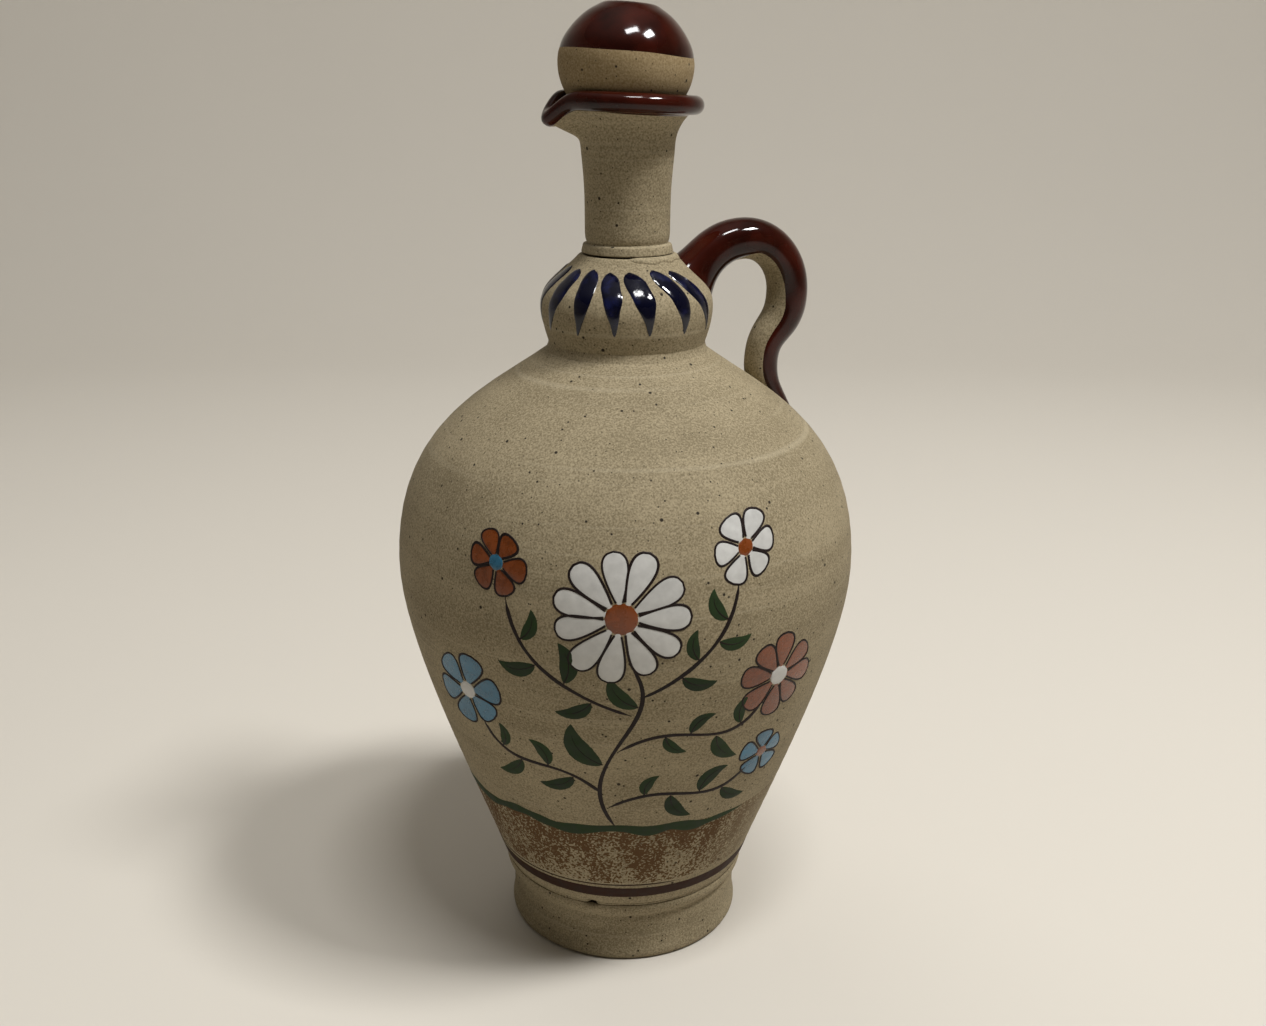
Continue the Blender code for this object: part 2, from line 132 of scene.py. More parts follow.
def angle(name, description, degrees):
    """An angle that a user may change."""
    return FloatProperty(
        name=name, description=description, default=math.radians(degrees), subtype="ANGLE"
    )


def colour(name, description, code):
    """A colour that a user may change."""
    return FloatVectorProperty(
        name=name, description=description, default=linear(code), subtype="COLOR", min=0.0, max=1.0
    )


class JugClay(bpy.types.PropertyGroup):
    """Thrown clay"""

    row_spacing: length("Row spacing", "Distance between the rows of a turned mesh", 1.1 * MM)
    turn_steps: IntProperty(name="Turn steps", description="Columns of a turned mesh", default=240)
    edge: length("Edge", "Rounding of the clay's own corners", 0.45 * MM)
    ring_pitch: length("Ring pitch", "Rise of the throwing spiral in one turn", 5.2 * MM)
    ring_depth: length("Ring depth", "Depth of the throwing spiral", 0.035 * MM)
    slip_width: length("Slip width", "Reach of the slip smoothed into the collar's joint", 0.7 * MM)
    neck_swell: length("Neck swell", "How much fuller the neck is between its ridge and its rim", 0.46 * MM)
    crease_depth: length("Crease depth", "Depth of the crease over the foot ring", 0.42 * MM)
    crease_width: length("Crease width", "Half width of the crease over the foot ring", 1.0 * MM)
    hollow_depth: length("Hollow depth", "Depth of the soft hollow round the foot ring", 0.8 * MM)
    pale: colour("Pale clay", "Clay where it is dry and rubbed", "a09377")
    deep: colour("Deep clay", "Clay between its pale grains", "776b52")
    speck: colour("Speck", "Iron specks in the clay", "1c140d")


class JugLip(bpy.types.PropertyGroup):
    """Pouring lip and tilt of the mouth"""

    reach: length("Lip reach", "How far the lip is drawn out of the rim", 3.6 * MM)
    drop: length("Lip drop", "How far the lip is drawn down", 5.2 * MM)
    depth: length("Lip depth", "How far down the neck the pull is felt", 12.5 * MM)
    spread: angle("Lip spread", "Half the turn that the lip takes up", 14.0)
    tilt: angle("Mouth tilt", "Lean of the rim towards the handle", 2.2)
    ball_tilt: angle("Ball tilt", "Lean of the stopper in the mouth", 4.4)
    ball_taper: FloatProperty(
        name="Ball taper", description="Share that the ball's crown draws in", default=0.045
    )
    ball_shift: length("Ball shift", "Stopper's place in the mouth, towards the lip", 0.6 * MM)


class JugHandle(bpy.types.PropertyGroup):
    """Pulled strap"""

    root_height: length("Root height", "Middle of the root over the floor", 214.4 * MM)
    root_slope: angle("Root slope", "Rise of the strap where it leaves the collar", 45.0)
    arch_rise: length("Arch rise", "Root to the top of the arch", 9.8 * MM)
    arch_span: length("Arch span", "Root to the top of the arch, outward", 16.3 * MM)
    grip_span: length("Grip span", "Root to the outermost strap, outward", 31.1 * MM)
    grip_fall: length("Grip fall", "Root down to the outermost strap", 6.6 * MM)
    tip_height: length("Tip height", "Tail's tip over the floor", 169.9 * MM)
    knee_tuck: length("Knee tuck", "Tip in to the knee", 10.9 * MM)
    knee_rise: length("Knee rise", "Tip up to the knee", 15.2 * MM)
    root_sink: length("Root sink", "Start of the strap inside the collar's clay", 4.0 * MM)
    tip_sink: length("Tip sink", "End of the strap under the shoulder", 1.0 * MM)


class JugGlaze(bpy.types.PropertyGroup):
    """Poured iron glaze"""

    thickness: length("Thickness", "Glaze over the clay", 0.25 * MM)
    ball_line: length("Ball line", "Height of the glaze's edge on the ball", 276.75 * MM)
    mouth_depth: length("Mouth depth", "How far the rim's glaze runs into the bore", 6.0 * MM)
    deep: colour("Deep glaze", "Glaze where it lies thick", "1c0603")
    thin: colour("Thin glaze", "Glaze where it breaks thin", "3c1209")


class JugPetals(bpy.types.PropertyGroup):
    """Cobalt petals round the collar"""

    spacing: angle("Spacing", "Turn between the petals at the back", 20.6)
    top: length("Top", "Height of the petals' tops", 217.9 * MM)
    bottom: length("Bottom", "Height of the petals' tails", 200.4 * MM)
    width: length("Width", "Widest part of a petal", 6.2 * MM)
    thickness: length("Thickness", "Raised glaze at a petal's middle", 0.32 * MM)
    deep: colour("Deep cobalt", "Cobalt where it lies thick", "040518")
    thin: colour("Thin cobalt", "Cobalt where the brush ran dry", "12163a")


class JugBands(bpy.types.PropertyGroup):
    """Brushed and sponged bands"""

    stripe_low: length("Stripe low", "Lower edge of the brown stripe", 26.0 * MM)
    stripe_high: length("Stripe high", "Upper edge of the brown stripe", 30.4 * MM)
    line_height: length("Line height", "Thin line over the stripe", 31.6 * MM)
    line_width: length("Line width", "Width of the thin line", 0.65 * MM)
    ground_height: length("Ground height", "Green line over the sponged band", 57.0 * MM)
    ground_width: length("Ground width", "Width of the green line", 4.0 * MM)
    paint: length("Paint", "Thickness of brushed colour", 0.10 * MM)
    stripe: colour("Stripe", "Brown of the stripe", "2b160a")
    sponge: colour("Sponge", "Brown of the sponged band", "4f320b")


class JugSpray(bpy.types.PropertyGroup):
    """Flower spray on the belly"""

    outline: length("Outline", "Width of the dark outlines", 0.75 * MM)
    stem: length("Stem", "Width of the stems", 1.3 * MM)
    white: colour("White", "White petals", "bdbcb8")
    blue: colour("Blue", "Blue petals", "2a617c")
    rust: colour("Rust", "Rust petals and middles", "6c3410")
    green: colour("Green", "Leaves and ground", "1b2c10")
    dark: colour("Dark", "Stems and outlines", "180c09")


class JugStage(bpy.types.PropertyGroup):
    """Camera and floor"""

    azimuth: angle("Azimuth", "Where the camera stands round the jug", -18.0)
    distance: length("Distance", "Camera to the jug's axis", 394.65 * MM)
    height: length("Height", "Camera over the floor", 271.77 * MM)
    pitch: angle("Pitch", "Camera's look down", 18.52)
    yaw: angle("Yaw", "Camera's look to the side", 0.335)
    roll: angle("Roll", "Camera's lean", 0.45)
    focal: FloatProperty(name="Focal", description="Focal length in photo pixels", default=1313.9)
    floor: colour("Floor", "Floor and sweep", "d0cabf")


class JugSettings(bpy.types.PropertyGroup):
    """Sizes and colours of the whole jug"""

    clay: PointerProperty(type=JugClay)
    lip: PointerProperty(type=JugLip)
    handle: PointerProperty(type=JugHandle)
    glaze: PointerProperty(type=JugGlaze)
    petals: PointerProperty(type=JugPetals)
    bands: PointerProperty(type=JugBands)
    spray: PointerProperty(type=JugSpray)
    stage: PointerProperty(type=JugStage)


def settings():
    """The scene's jug settings."""
    return bpy.context.scene.jug


# Curves


def arc_lengths(points):
    """Distance along a run of points to each of them."""
    steps = np.linalg.norm(np.diff(points, axis=0), axis=1)
    return np.concatenate(([0.0], np.cumsum(steps)))


def bell(offset):
    """Smooth bump that is 1 at no offset and has all but gone at 2."""
    return np.exp(-(offset**2))


def wrapped(turn):
    """A turn brought to within half a turn of 0."""
    return (turn + math.pi) % math.tau - math.pi


def full_turn(count):
    """Turns spaced evenly round a circle."""
    return np.linspace(0.0, math.tau, count, endpoint=False)


def round_points(radius, turn, height):
    """Points at a radius, a turn round +Z and a height."""
    return np.stack(np.broadcast_arrays(radius * np.cos(turn), radius * np.sin(turn), height), axis=-1)


def smooth_curve(points, count):
    """A smooth curve through points, sampled evenly: a cubic spline with even curvature at its ends."""
    points = np.asarray(points, float)
    knots = arc_lengths(points)
    steps = np.diff(knots)
    size = len(points)
    system = np.eye(size)
    bends = np.zeros_like(points)
    if size > 2:
        system[0, 1] = system[-1, -2] = -1.0
    for i in range(1, size - 1):
        system[i, i - 1 : i + 2] = steps[i - 1], 2 * (steps[i - 1] + steps[i]), steps[i]
        bends[i] = 6 * ((points[i + 1] - points[i]) / steps[i] - (points[i] - points[i - 1]) / steps[i - 1])
    if size > 2:
        bends = np.linalg.solve(system, bends)
    where = np.linspace(0.0, knots[-1], count)
    part = np.clip(np.searchsorted(knots, where, side="right") - 1, 0, size - 2)
    step = steps[part][:, None]
    after = (where - knots[part])[:, None]
    before = step - after
    curve = bends[part] * before**3 + bends[part + 1] * after**3
    curve = curve / (6 * step)
    curve += (points[part] / step - bends[part] * step / 6) * before
    curve += (points[part + 1] / step - bends[part + 1] * step / 6) * after
    return curve


def bezier(start, start_pull, end_pull, end, count):
    """Points of a cubic Bezier curve, both ends included."""
    t = np.linspace(0.0, 1.0, count)[:, None]
    u = 1.0 - t
    return u**3 * start + 3 * u * u * t * start_pull + 3 * u * t * t * end_pull + t**3 * end


def ease(share):
    """Soft start and end between 0 and 1."""
    share = np.clip(share, 0.0, 1.0)
    return share * share * (3.0 - 2.0 * share)


def ripple(turn, seed, waves=(1, 2, 3, 5)):
    """A slow hand's wander round a full turn, about -1 to 1, the same each time for a seed."""
    draw = np.random.default_rng(seed)
    total = np.zeros_like(np.asarray(turn, float))
    for wave in waves:
        total += np.cos(wave * turn + draw.uniform(0.0, math.tau)) / len(waves)
    return total


def wander(share, seed, waves=4):
    """A brush's wander along a stroke, about -1 to 1, the same each time for a seed."""
    draw = np.random.default_rng(seed)
    knots = draw.uniform(-1.0, 1.0, waves + 2)
    return smooth_curve(np.stack((np.arange(waves + 2), knots), axis=1), len(share))[:, 1]


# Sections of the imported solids


def cad_section(node, from_top=False):
    """Section of a turned solid in the half plane through +X, in order along its own edges, outside first."""
    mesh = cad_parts[node].data
    places = [tuple(round(v, 6) for v in vert.co) for vert in mesh.vertices]
    beside = {}
    for edge in mesh.edges:
        ends = [places[i] for i in edge.vertices]
        if any(abs(p[1]) > SAME_PLACE or p[0] < -SAME_PLACE for p in ends) or ends[0] == ends[1]:
            continue
        for here, there in (ends, ends[::-1]):
            beside.setdefault((here[0], here[2]), set()).add((there[0], there[2]))
    # A flat end has no point in its middle, so its section stops at its rim
    ends = [p for p in beside if len(beside[p]) == 1]
    if ends:
        start = max(ends, key=lambda p: p[1]) if from_top else min(ends, key=lambda p: p[1])
    else:
        start = min(beside, key=lambda p: (p[1], -p[0]))
    walk = [start]
    step = max(beside[start])
    while step not in walk:
        walk.append(step)
        ahead = beside[step] - set(walk)
        if not ahead:
            break
        step = ahead.pop()
    if ends:
        walk = [(0.0, walk[0][1])] + walk + [(0.0, walk[-1][1])]
    else:
        walk.append(start)
    return np.array(walk)


def rounded(before, corner, after):
    """Point that rounds a corner between its two neighbours."""
    return 0.25 * before + 0.5 * corner + 0.25 * after


def soft_section(section, spacing, edge):
    """A section with smooth curves between its corners, and each corner rounded."""
    closed = np.allclose(section[0], section[-1])
    runs = np.diff(section, axis=0)
    bends = np.abs(wrapped(np.diff(np.arctan2(runs[:, 1], runs[:, 0]))))
    cuts = [0] + [i + 1 for i in range(len(bends)) if bends[i] > CORNER] + [len(section) - 1]
    stretches = []
    for low, high in zip(cuts, cuts[1:]):
        part = section[low : high + 1]
        size = arc_lengths(part)[-1]
        stretches.append(smooth_curve(part, max(4, int(round(size / spacing)) + 1)))
    points = []
    for number, stretch in enumerate(stretches):
        along = arc_lengths(stretch)
        size = along[-1]
        cut = min(edge, 0.3 * size)
        first = cut if number > 0 or closed else 0.0
        last = size - (cut if number < len(stretches) - 1 or closed else 0.0)
        inner = along[(along > first + 0.3 * cut) & (along < last - 0.3 * cut)]
        keep = np.concatenate(([first], inner, [last]))
        piece = np.stack([np.interp(keep, along, stretch[:, axis]) for axis in (0, 1)], axis=1)
        if points:
            points.append(rounded(points[-1], stretch[0], piece[0]))
        points.extend(piece)
    if closed:
        points.append(rounded(points[-1], section[0], points[0]))
        points.append(points[0])
    return np.array(points)


class Skin:
    """Surface of a turned piece: a point for any turn round +Z and any distance along its section."""

    def __init__(self, section, relief=None, warp=None):
        self.section = section
        self.along = arc_lengths(section)
        run = np.gradient(section, self.along, axis=0)
        run /= np.linalg.norm(run, axis=1, keepdims=True)
        self.facing = np.stack((run[:, 1], -run[:, 0]), axis=1)
        self.relief = relief
        self.warp = warp

    def radius(self, along):
        """Radius of the section at a distance along it."""
        return np.interp(along, self.along, self.section[:, 0])

    def height(self, along):
        """Height of the section at a distance along it."""
        return np.interp(along, self.along, self.section[:, 1])

    def along_at(self, height):
        """Distance along the section where its first climb, or its first fall, passes a height."""
        heights = self.section[:, 1]
        climbs = heights[len(heights) // 3] > heights[0]
        end = int(np.argmax(heights) if climbs else np.argmin(heights)) + 1
        sign = 1.0 if climbs else -1.0
        return np.interp(sign * np.asarray(height), sign * heights[:end], self.along[:end])

    def at(self, turn, along, lift=0.0):
        """Points on the surface, or lifted off it along its normal."""
        turn, along, lift = np.broadcast_arrays(turn, along, lift)
        radius = self.radius(along)
        height = self.height(along)
        out = np.interp(along, self.along, self.facing[:, 0])
        up = np.interp(along, self.along, self.facing[:, 1])
        if self.relief is not None:
            lift = lift + self.relief(turn, radius, height)
        points = round_points(radius + out * lift, turn, height + up * lift)
        return points if self.warp is None else self.warp(points)


# Meshes


def loft(rings, looped=False):
    """Points and faces of a closed skin over rings of points, with its ends capped or looped."""
    count, size = rings.shape[:2]
    index = np.arange(count * size).reshape(count, size)
    following = np.roll(index, -1, axis=0) if looped else index[1:]
    faces = []
    for low, high in zip(index, following):
        faces += np.stack((low, np.roll(low, -1), np.roll(high, -1), high), axis=1).tolist()
    if not looped:
        faces.append(index[0].tolist())
        faces.append(index[-1].tolist())
    return rings.reshape(-1, 3), faces


def make_piece(name, skins, look, body, nodes=()):
    """One smooth object from closed skins, riding on a body and standing for its solids."""
    bm = bmesh.new()
    for points, faces in skins:
        verts = [bm.verts.new(p) for p in points]
        for face in faces:
            bm.faces.new([verts[i] for i in face])
    bmesh.ops.remove_doubles(bm, verts=bm.verts, dist=SAME_PLACE)
    bmesh.ops.dissolve_degenerate(bm, edges=bm.edges, dist=SAME_PLACE / 10)
    bmesh.ops.recalc_face_normals(bm, faces=bm.faces)
    mesh = bpy.data.meshes.new(name)
    bm.to_mesh(mesh)
    bm.free()
    mesh.shade_smooth()
    mesh.set_sharp_from_angle(angle=SHARP_EDGE)
    mesh.materials.append(look)
    made = bpy.data.objects.new(name, mesh)
    bpy.context.scene.collection.objects.link(made)
    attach(made, body)
    if nodes:
        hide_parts(*nodes)
    return made


def turned(skin, steps):
    """Closed mesh of a turned skin, whose section is a loop or runs from axis to axis."""
    turns = full_turn(steps)
    looped = bool(np.allclose(skin.section[0], skin.section[-1]))
    along = skin.along[:-1] if looped else skin.along
    return loft(skin.at(turns[None, :], along[:, None]), looped)


def coat_lift(share, thickness):
    """Lift of a coat across its width: rounded edges that sink into the clay, and an even middle."""
    from_edge = 1.0 - np.abs(2.0 * share - 1.0)
    return thickness * (1.0 - (1.0 - np.clip(from_edge * 6.0, 0.0, 1.0)) ** 2) - COAT_SINK


def ribbon(upper, under):
    """Closed skin of a strip, from the rows of its upper side and those of its underside the other way."""
    return loft(np.concatenate((upper, under[:, 1:-1]), axis=1))


def coat_round(skin, turns, low, high, rows, thickness, root):
    """Closed coat round a turned skin, between two distances along it at each turn."""
    share = np.linspace(0.0, 1.0, rows)
    along = low + (high - low) * share[:, None]
    upper = skin.at(turns, along, coat_lift(share, thickness)[:, None])
    under = skin.at(turns, along[::-1], -root)
    return loft(np.concatenate((upper, under[1:-1])), looped=True)


# Looks


def put(tree, kind, inputs=None, **values):
    """Add a node, set its values and its inputs, and link the inputs that are given as sockets."""
    node = tree.nodes.new(kind)
    for name, value in values.items():
        setattr(node, name, value)
    for name, value in (inputs or {}).items():
        if isinstance(value, bpy.types.NodeSocket):
            tree.links.new(value, node.inputs[name])
        else:
            node.inputs[name].default_value = value
    return node


def new_look(name, ior, **sockets):
    """A material with a Principled shader, its tree and its object coordinates."""
    made = bpy.data.materials.new(name)
    made.use_nodes = True
    tree = made.node_tree
    shader = tree.nodes["Principled BSDF"]
    shader.inputs["IOR"].default_value = ior
    for socket, value in sockets.items():
        shader.inputs[socket.replace("_", " ")].default_value = value
    coords = put(tree, "ShaderNodeTexCoord").outputs["Object"]
    return made, tree, shader, coords


def per_metre(size):
    """Scale of a pattern whose features have a size."""
    return 1.0 / size


def rgba(value):
    """A colour with full alpha."""
    return (*value, 1.0)


def finish_look(tree, shader, base, rough, height, strength, depth):
    """Give a shader its colour, its roughness and its fine relief."""
    tree.links.new(base.outputs[2], shader.inputs["Base Color"])
    tree.links.new(rough.outputs[0], shader.inputs["Roughness"])
    bump = put(tree, "ShaderNodeBump", {"Height": height.outputs[0], "Strength": strength, "Distance": depth})
    tree.links.new(bump.outputs[0], shader.inputs["Normal"])


def stoneware_thrown(name, warm=0.0, sponge=None):
    """Unglazed stoneware, thrown and fired: matt, grainy, specked with iron and streaked by the wheel."""
    made, tree, shader, coords = new_look(name, 1.5, Specular_IOR_Level=0.3)
    grain = put(tree, "ShaderNodeTexNoise", {"Vector": coords, "Scale": per_metre(0.55 * MM), "Detail": 2.0})
    mixed = wheel_lines(tree, coords, fired_clay(tree, coords, grain))
    if warm > 0.0:
        # Mixes the clay towards a darker, warmer brown than the rest of the jug's clay
        darker_warmer = {0: warm, 6: mixed.outputs[2], 7: rgba(linear("805f26"))}
        mixed = put(tree, "ShaderNodeMix", darker_warmer, data_type="RGBA")
    mixed = iron_specks(tree, coords, mixed)
    if sponge is not None:
        sponged = {0: sponge(tree, coords), 6: mixed.outputs[2], 7: rgba(settings().bands.sponge)}
        mixed = put(tree, "ShaderNodeMix", sponged, data_type="RGBA")
    rough = put(tree, "ShaderNodeMapRange", {0: grain.outputs[0], 1: 0.3, 2: 0.7, 3: 0.78, 4: 0.92})
    finish_look(tree, shader, mixed, rough, grain, 0.35, 0.12 * MM)
    return made


def fired_clay(tree, coords, grain):
    """Colour of bare clay: grainy and mottled, with the broad streaks of the wheel."""
    clay = settings().clay
    mottle = put(tree, "ShaderNodeTexNoise", {"Vector": coords, "Scale": per_metre(22 * MM), "Detail": 3.0})
    wheel_scale = (per_metre(170 * MM), per_metre(170 * MM), per_metre(7 * MM))
    wheel_place = {"Vector": coords, "Rotation": WHEEL_LEAN, "Scale": wheel_scale}
    wheel = put(tree, "ShaderNodeMapping", wheel_place)
    streak = put(tree, "ShaderNodeTexNoise", {"Vector": wheel.outputs[0], "Scale": 1.0, "Detail": 4.0})
    tone = grain.outputs[0]
    for layer, weight in ((mottle, 0.40), (streak, 0.45), (grain, 0.5)):
        added = {0: layer.outputs[0], 1: weight, 2: tone}
        tone = put(tree, "ShaderNodeMath", added, operation="MULTIPLY_ADD").outputs[0]
    tone = put(tree, "ShaderNodeMapRange", {0: tone, 1: 0.92, 2: 1.44})
    dry = {0: tone.outputs[0], 6: rgba(clay.deep), 7: rgba(clay.pale)}
    return put(tree, "ShaderNodeMix", dry, data_type="RGBA")


def wheel_lines(tree, coords, mixed):
    """Thin pale lines over a colour, where the wheel drew a finger or a rib round."""
    line_scale = (per_metre(150 * MM), per_metre(150 * MM), per_metre(1.7 * MM))
    line_place = {"Vector": coords, "Rotation": WHEEL_LEAN, "Scale": line_scale}
    lines = put(tree, "ShaderNodeMapping", line_place)
    lines = put(tree, "ShaderNodeTexNoise", {"Vector": lines.outputs[0], "Scale": 1.0, "Detail": 1.0})
    lines = put(tree, "ShaderNodeMapRange", {0: lines.outputs[0], 1: 0.61, 2: 0.78, 3: 0.0, 4: 0.3})
    pale = {0: lines.outputs[0], 6: mixed.outputs[2], 7: rgba(linear("b6ab91"))}
    return put(tree, "ShaderNodeMix", pale, data_type="RGBA")


def iron_specks(tree, coords, mixed):
    """Three sizes of iron speck over a colour, as spheres in the clay that the surface cuts."""
    for spacing, share, strength in ((3.3 * MM, 0.2, 0.95), (1.7 * MM, 0.19, 0.85), (0.85 * MM, 0.2, 0.5)):
        cells = put(tree, "ShaderNodeTexVoronoi", {"Vector": coords, "Scale": per_metre(spacing)})
        sized = {0: cells.outputs["Distance"], 1: cells.outputs["Color"]}
        near = put(tree, "ShaderNodeMath", sized, operation="DIVIDE")
        edge = {0: near.outputs[0], 1: share, 2: 0.7 * share, 3: 0.0, 4: strength}
        spot = put(tree, "ShaderNodeMapRange", edge)
        specked = {0: spot.outputs[0], 6: mixed.outputs[2], 7: rgba(settings().clay.speck)}
        mixed = put(tree, "ShaderNodeMix", specked, data_type="RGBA")
    return mixed


def sponged_band(tree, coords):
    """Strength of the sponged colour: crisp stipple in upright dabs, denser under the ground line."""
    bands = settings().bands
    place = put(tree, "ShaderNodeSeparateXYZ", {0: coords})
    height = place.outputs[2]
    fibre = put(tree, "ShaderNodeTexNoise", {"Vector": coords, "Scale": per_metre(0.8 * MM), "Detail": 2.0})
    dab_scale = (per_metre(5.5 * MM), per_metre(5.5 * MM), per_metre(30 * MM))
    dab_place = put(tree, "ShaderNodeMapping", {"Vector": coords, "Scale": dab_scale})
    dab = put(tree, "ShaderNodeTexNoise", {"Vector": dab_place.outputs[0], "Scale": 1.0, "Detail": 2.0})
    rise = {0: height, 1: bands.line_height, 2: bands.ground_height, 3: -0.03, 4: 0.06}
    load = put(tree, "ShaderNodeMapRange", rise)
    dabs = put(tree, "ShaderNodeMapRange", {0: dab.outputs[0], 1: 0.3, 2: 0.7, 3: -0.09, 4: 0.09})
    wet = put(tree, "ShaderNodeMath", {0: load.outputs[0], 1: dabs.outputs[0]}, operation="ADD")
    wet = put(tree, "ShaderNodeMath", {0: wet.outputs[0], 1: fibre.outputs[0]}, operation="ADD")
    ink = put(tree, "ShaderNodeMapRange", {0: wet.outputs[0], 1: 0.465, 2: 0.505, 3: 0.0, 4: 0.94})
    low = put(tree, "ShaderNodeMath", {0: height, 1: bands.line_height + 1 * MM}, operation="GREATER_THAN")
    high = put(tree, "ShaderNodeMath", {0: height, 1: bands.ground_height + 1 * MM}, operation="LESS_THAN")
    inside = put(tree, "ShaderNodeMath", {0: low.outputs[0], 1: high.outputs[0]}, operation="MULTIPLY")
    # Distance towards the band's middle fades it away round the sides
    middle = front_turn() - BAND_ASIDE
    facing = (math.cos(middle), math.sin(middle), 0.0)
    ahead = put(tree, "ShaderNodeVectorMath", {0: coords, 1: facing}, operation="DOT_PRODUCT")
    fade = put(tree, "ShaderNodeMapRange", {0: ahead.outputs["Value"], 1: 0.0, 2: 30 * MM})
    shown = put(tree, "ShaderNodeMath", {0: ink.outputs[0], 1: inside.outputs[0]}, operation="MULTIPLY")
    shown = put(tree, "ShaderNodeMath", {0: shown.outputs[0], 1: fade.outputs[0]}, operation="MULTIPLY")
    return shown.outputs[0]


def iron_glaze_poured():
    """Iron-brown glaze, poured and fired glossy: dark where it lies thick, red where it breaks thin."""
    name = "iron_glaze_poured"
    if name in bpy.data.materials:
        return bpy.data.materials[name]
    glaze = settings().glaze
    made, tree, shader, coords = new_look(name, 1.37)
    flow = put(tree, "ShaderNodeTexNoise", {"Vector": coords, "Scale": per_metre(14 * MM), "Detail": 3.0})
    tone = put(tree, "ShaderNodeMapRange", {0: flow.outputs[0], 1: 0.38, 2: 0.72})
    poured = {0: tone.outputs[0], 6: rgba(glaze.deep), 7: rgba(glaze.thin)}
    mixed = put(tree, "ShaderNodeMix", poured, data_type="RGBA")
    skin = put(tree, "ShaderNodeTexNoise", {"Vector": coords, "Scale": per_metre(2.2 * MM), "Detail": 1.0})
    rough = put(tree, "ShaderNodeMapRange", {0: flow.outputs[0], 1: 0.3, 2: 0.7, 3: 0.05, 4: 0.12})
    finish_look(tree, shader, mixed, rough, skin, 0.2, 0.08 * MM)
    return made


def cobalt_glaze_brushed():
    """Cobalt glaze, laid on thick with a loaded brush: near black, glassy, and greyer where it ran dry."""
    petals = settings().petals
    made, tree, shader, coords = new_look("cobalt_glaze_brushed", 1.46)
    dry = put(tree, "ShaderNodeTexNoise", {"Vector": coords, "Scale": per_metre(5 * MM), "Detail": 4.0})
    tone = put(tree, "ShaderNodeMapRange", {0: dry.outputs[0], 1: 0.52, 2: 0.72})
    brushed = {0: tone.outputs[0], 6: rgba(petals.deep), 7: rgba(petals.thin)}
    mixed = put(tree, "ShaderNodeMix", brushed, data_type="RGBA")
    skin = put(tree, "ShaderNodeTexNoise", {"Vector": coords, "Scale": per_metre(1.1 * MM), "Detail": 2.0})
    rough = put(tree, "ShaderNodeMapRange", {0: dry.outputs[0], 1: 0.4, 2: 0.7, 3: 0.06, 4: 0.2})
    finish_look(tree, shader, mixed, rough, skin, 0.3, 0.1 * MM)
    return made


def colour_brushed(name, base, roughness, contrast, gloss=0.5):
    """Underglaze colour, brushed on by hand: satin, with the streaks and thin places of the brush."""
    made, tree, shader, coords = new_look(name, 1.5, Specular_IOR_Level=gloss)
    island = put(tree, "ShaderNodeNewGeometry").outputs["Random Per Island"]
    brush = put(tree, "ShaderNodeTexNoise", {"Vector": coords, "Scale": per_metre(2.4 * MM), "Detail": 4.0})
    tone = put(tree, "ShaderNodeMath", {0: island, 1: 0.35, 2: brush.outputs[0]}, operation="MULTIPLY_ADD")
    tone = put(tree, "ShaderNodeMapRange", {0: tone.outputs[0], 1: 0.35, 2: 0.95})
    dark = tuple(c * (1.0 - contrast) for c in base)
    pale = tuple(min(1.0, c * (1.0 + contrast)) for c in base)
    brushed = {0: tone.outputs[0], 6: rgba(dark), 7: rgba(pale)}
    mixed = put(tree, "ShaderNodeMix", brushed, data_type="RGBA")
    low, high = roughness
    rough = put(tree, "ShaderNodeMapRange", {0: brush.outputs[0], 1: 0.3, 2: 0.7, 3: low, 4: high})
    finish_look(tree, shader, mixed, rough, brush, 0.3, 0.1 * MM)
    return made


def copper_green_brushed():
    """Copper green, brushed on dry: matt and streaky, on the ground line and the leaves alike."""
    name = "copper_green_brushed"
    if name in bpy.data.materials:
        return bpy.data.materials[name]
    return colour_brushed(name, settings().spray.green, (0.6, 0.8), 0.4, 0.25)


def cork_punched():
    """Natural cork, punched from bark: warm, dull and soft, with dark pores."""
    made, tree, shader, coords = new_look("cork_punched", 1.4)
    bark = put(tree, "ShaderNodeTexNoise", {"Vector": coords, "Scale": per_metre(1.6 * MM), "Detail": 4.0})
    base = {0: bark.outputs[0], 6: rgba(linear("8c6440")), 7: rgba(linear("b98e62"))}
    mixed = put(tree, "ShaderNodeMix", base, data_type="RGBA")
    pores = put(tree, "ShaderNodeTexVoronoi", {"Vector": coords, "Scale": per_metre(2.6 * MM)})
    spot = put(tree, "ShaderNodeMapRange", {0: pores.outputs["Distance"], 1: 0.24, 2: 0.16})
    pored = {0: spot.outputs[0], 6: mixed.outputs[2], 7: rgba(linear("3f2a19"))}
    mixed = put(tree, "ShaderNodeMix", pored, data_type="RGBA")
    tree.links.new(mixed.outputs[2], shader.inputs["Base Color"])
    shader.inputs["Roughness"].default_value = 0.9
    bump = put(tree, "ShaderNodeBump", {"Height": spot.outputs[0], "Strength": 0.6, "Distance": 0.2 * MM})
    bump.invert = True
    tree.links.new(bump.outputs[0], shader.inputs["Normal"])
    return made


def plain_paint(name, base):
    """Matt paint on the stage."""
    made, tree, shader, coords = new_look(name, 1.45, Roughness=0.9)
    cloud = put(tree, "ShaderNodeTexNoise", {"Vector": coords, "Scale": per_metre(400 * MM)})
    shade = tuple(0.97 * c for c in base)
    rolled = {0: cloud.outputs[0], 6: rgba(shade), 7: rgba(base)}
    mixed = put(tree, "ShaderNodeMix", rolled, data_type="RGBA")
    tree.links.new(mixed.outputs[2], shader.inputs["Base Color"])
    return made


# Surfaces of the jug


def front_turn():
    """Turn of the jug's side that faces the camera."""
    return settings().stage.azimuth - math.pi / 2


def torn_pit(turn):
    """Depth of the pit that was torn in the foot's crease."""
    return PIT_DEPTH * bell((wrapped(turn - front_turn()) - TORN_PIT) / PIT_SPREAD)


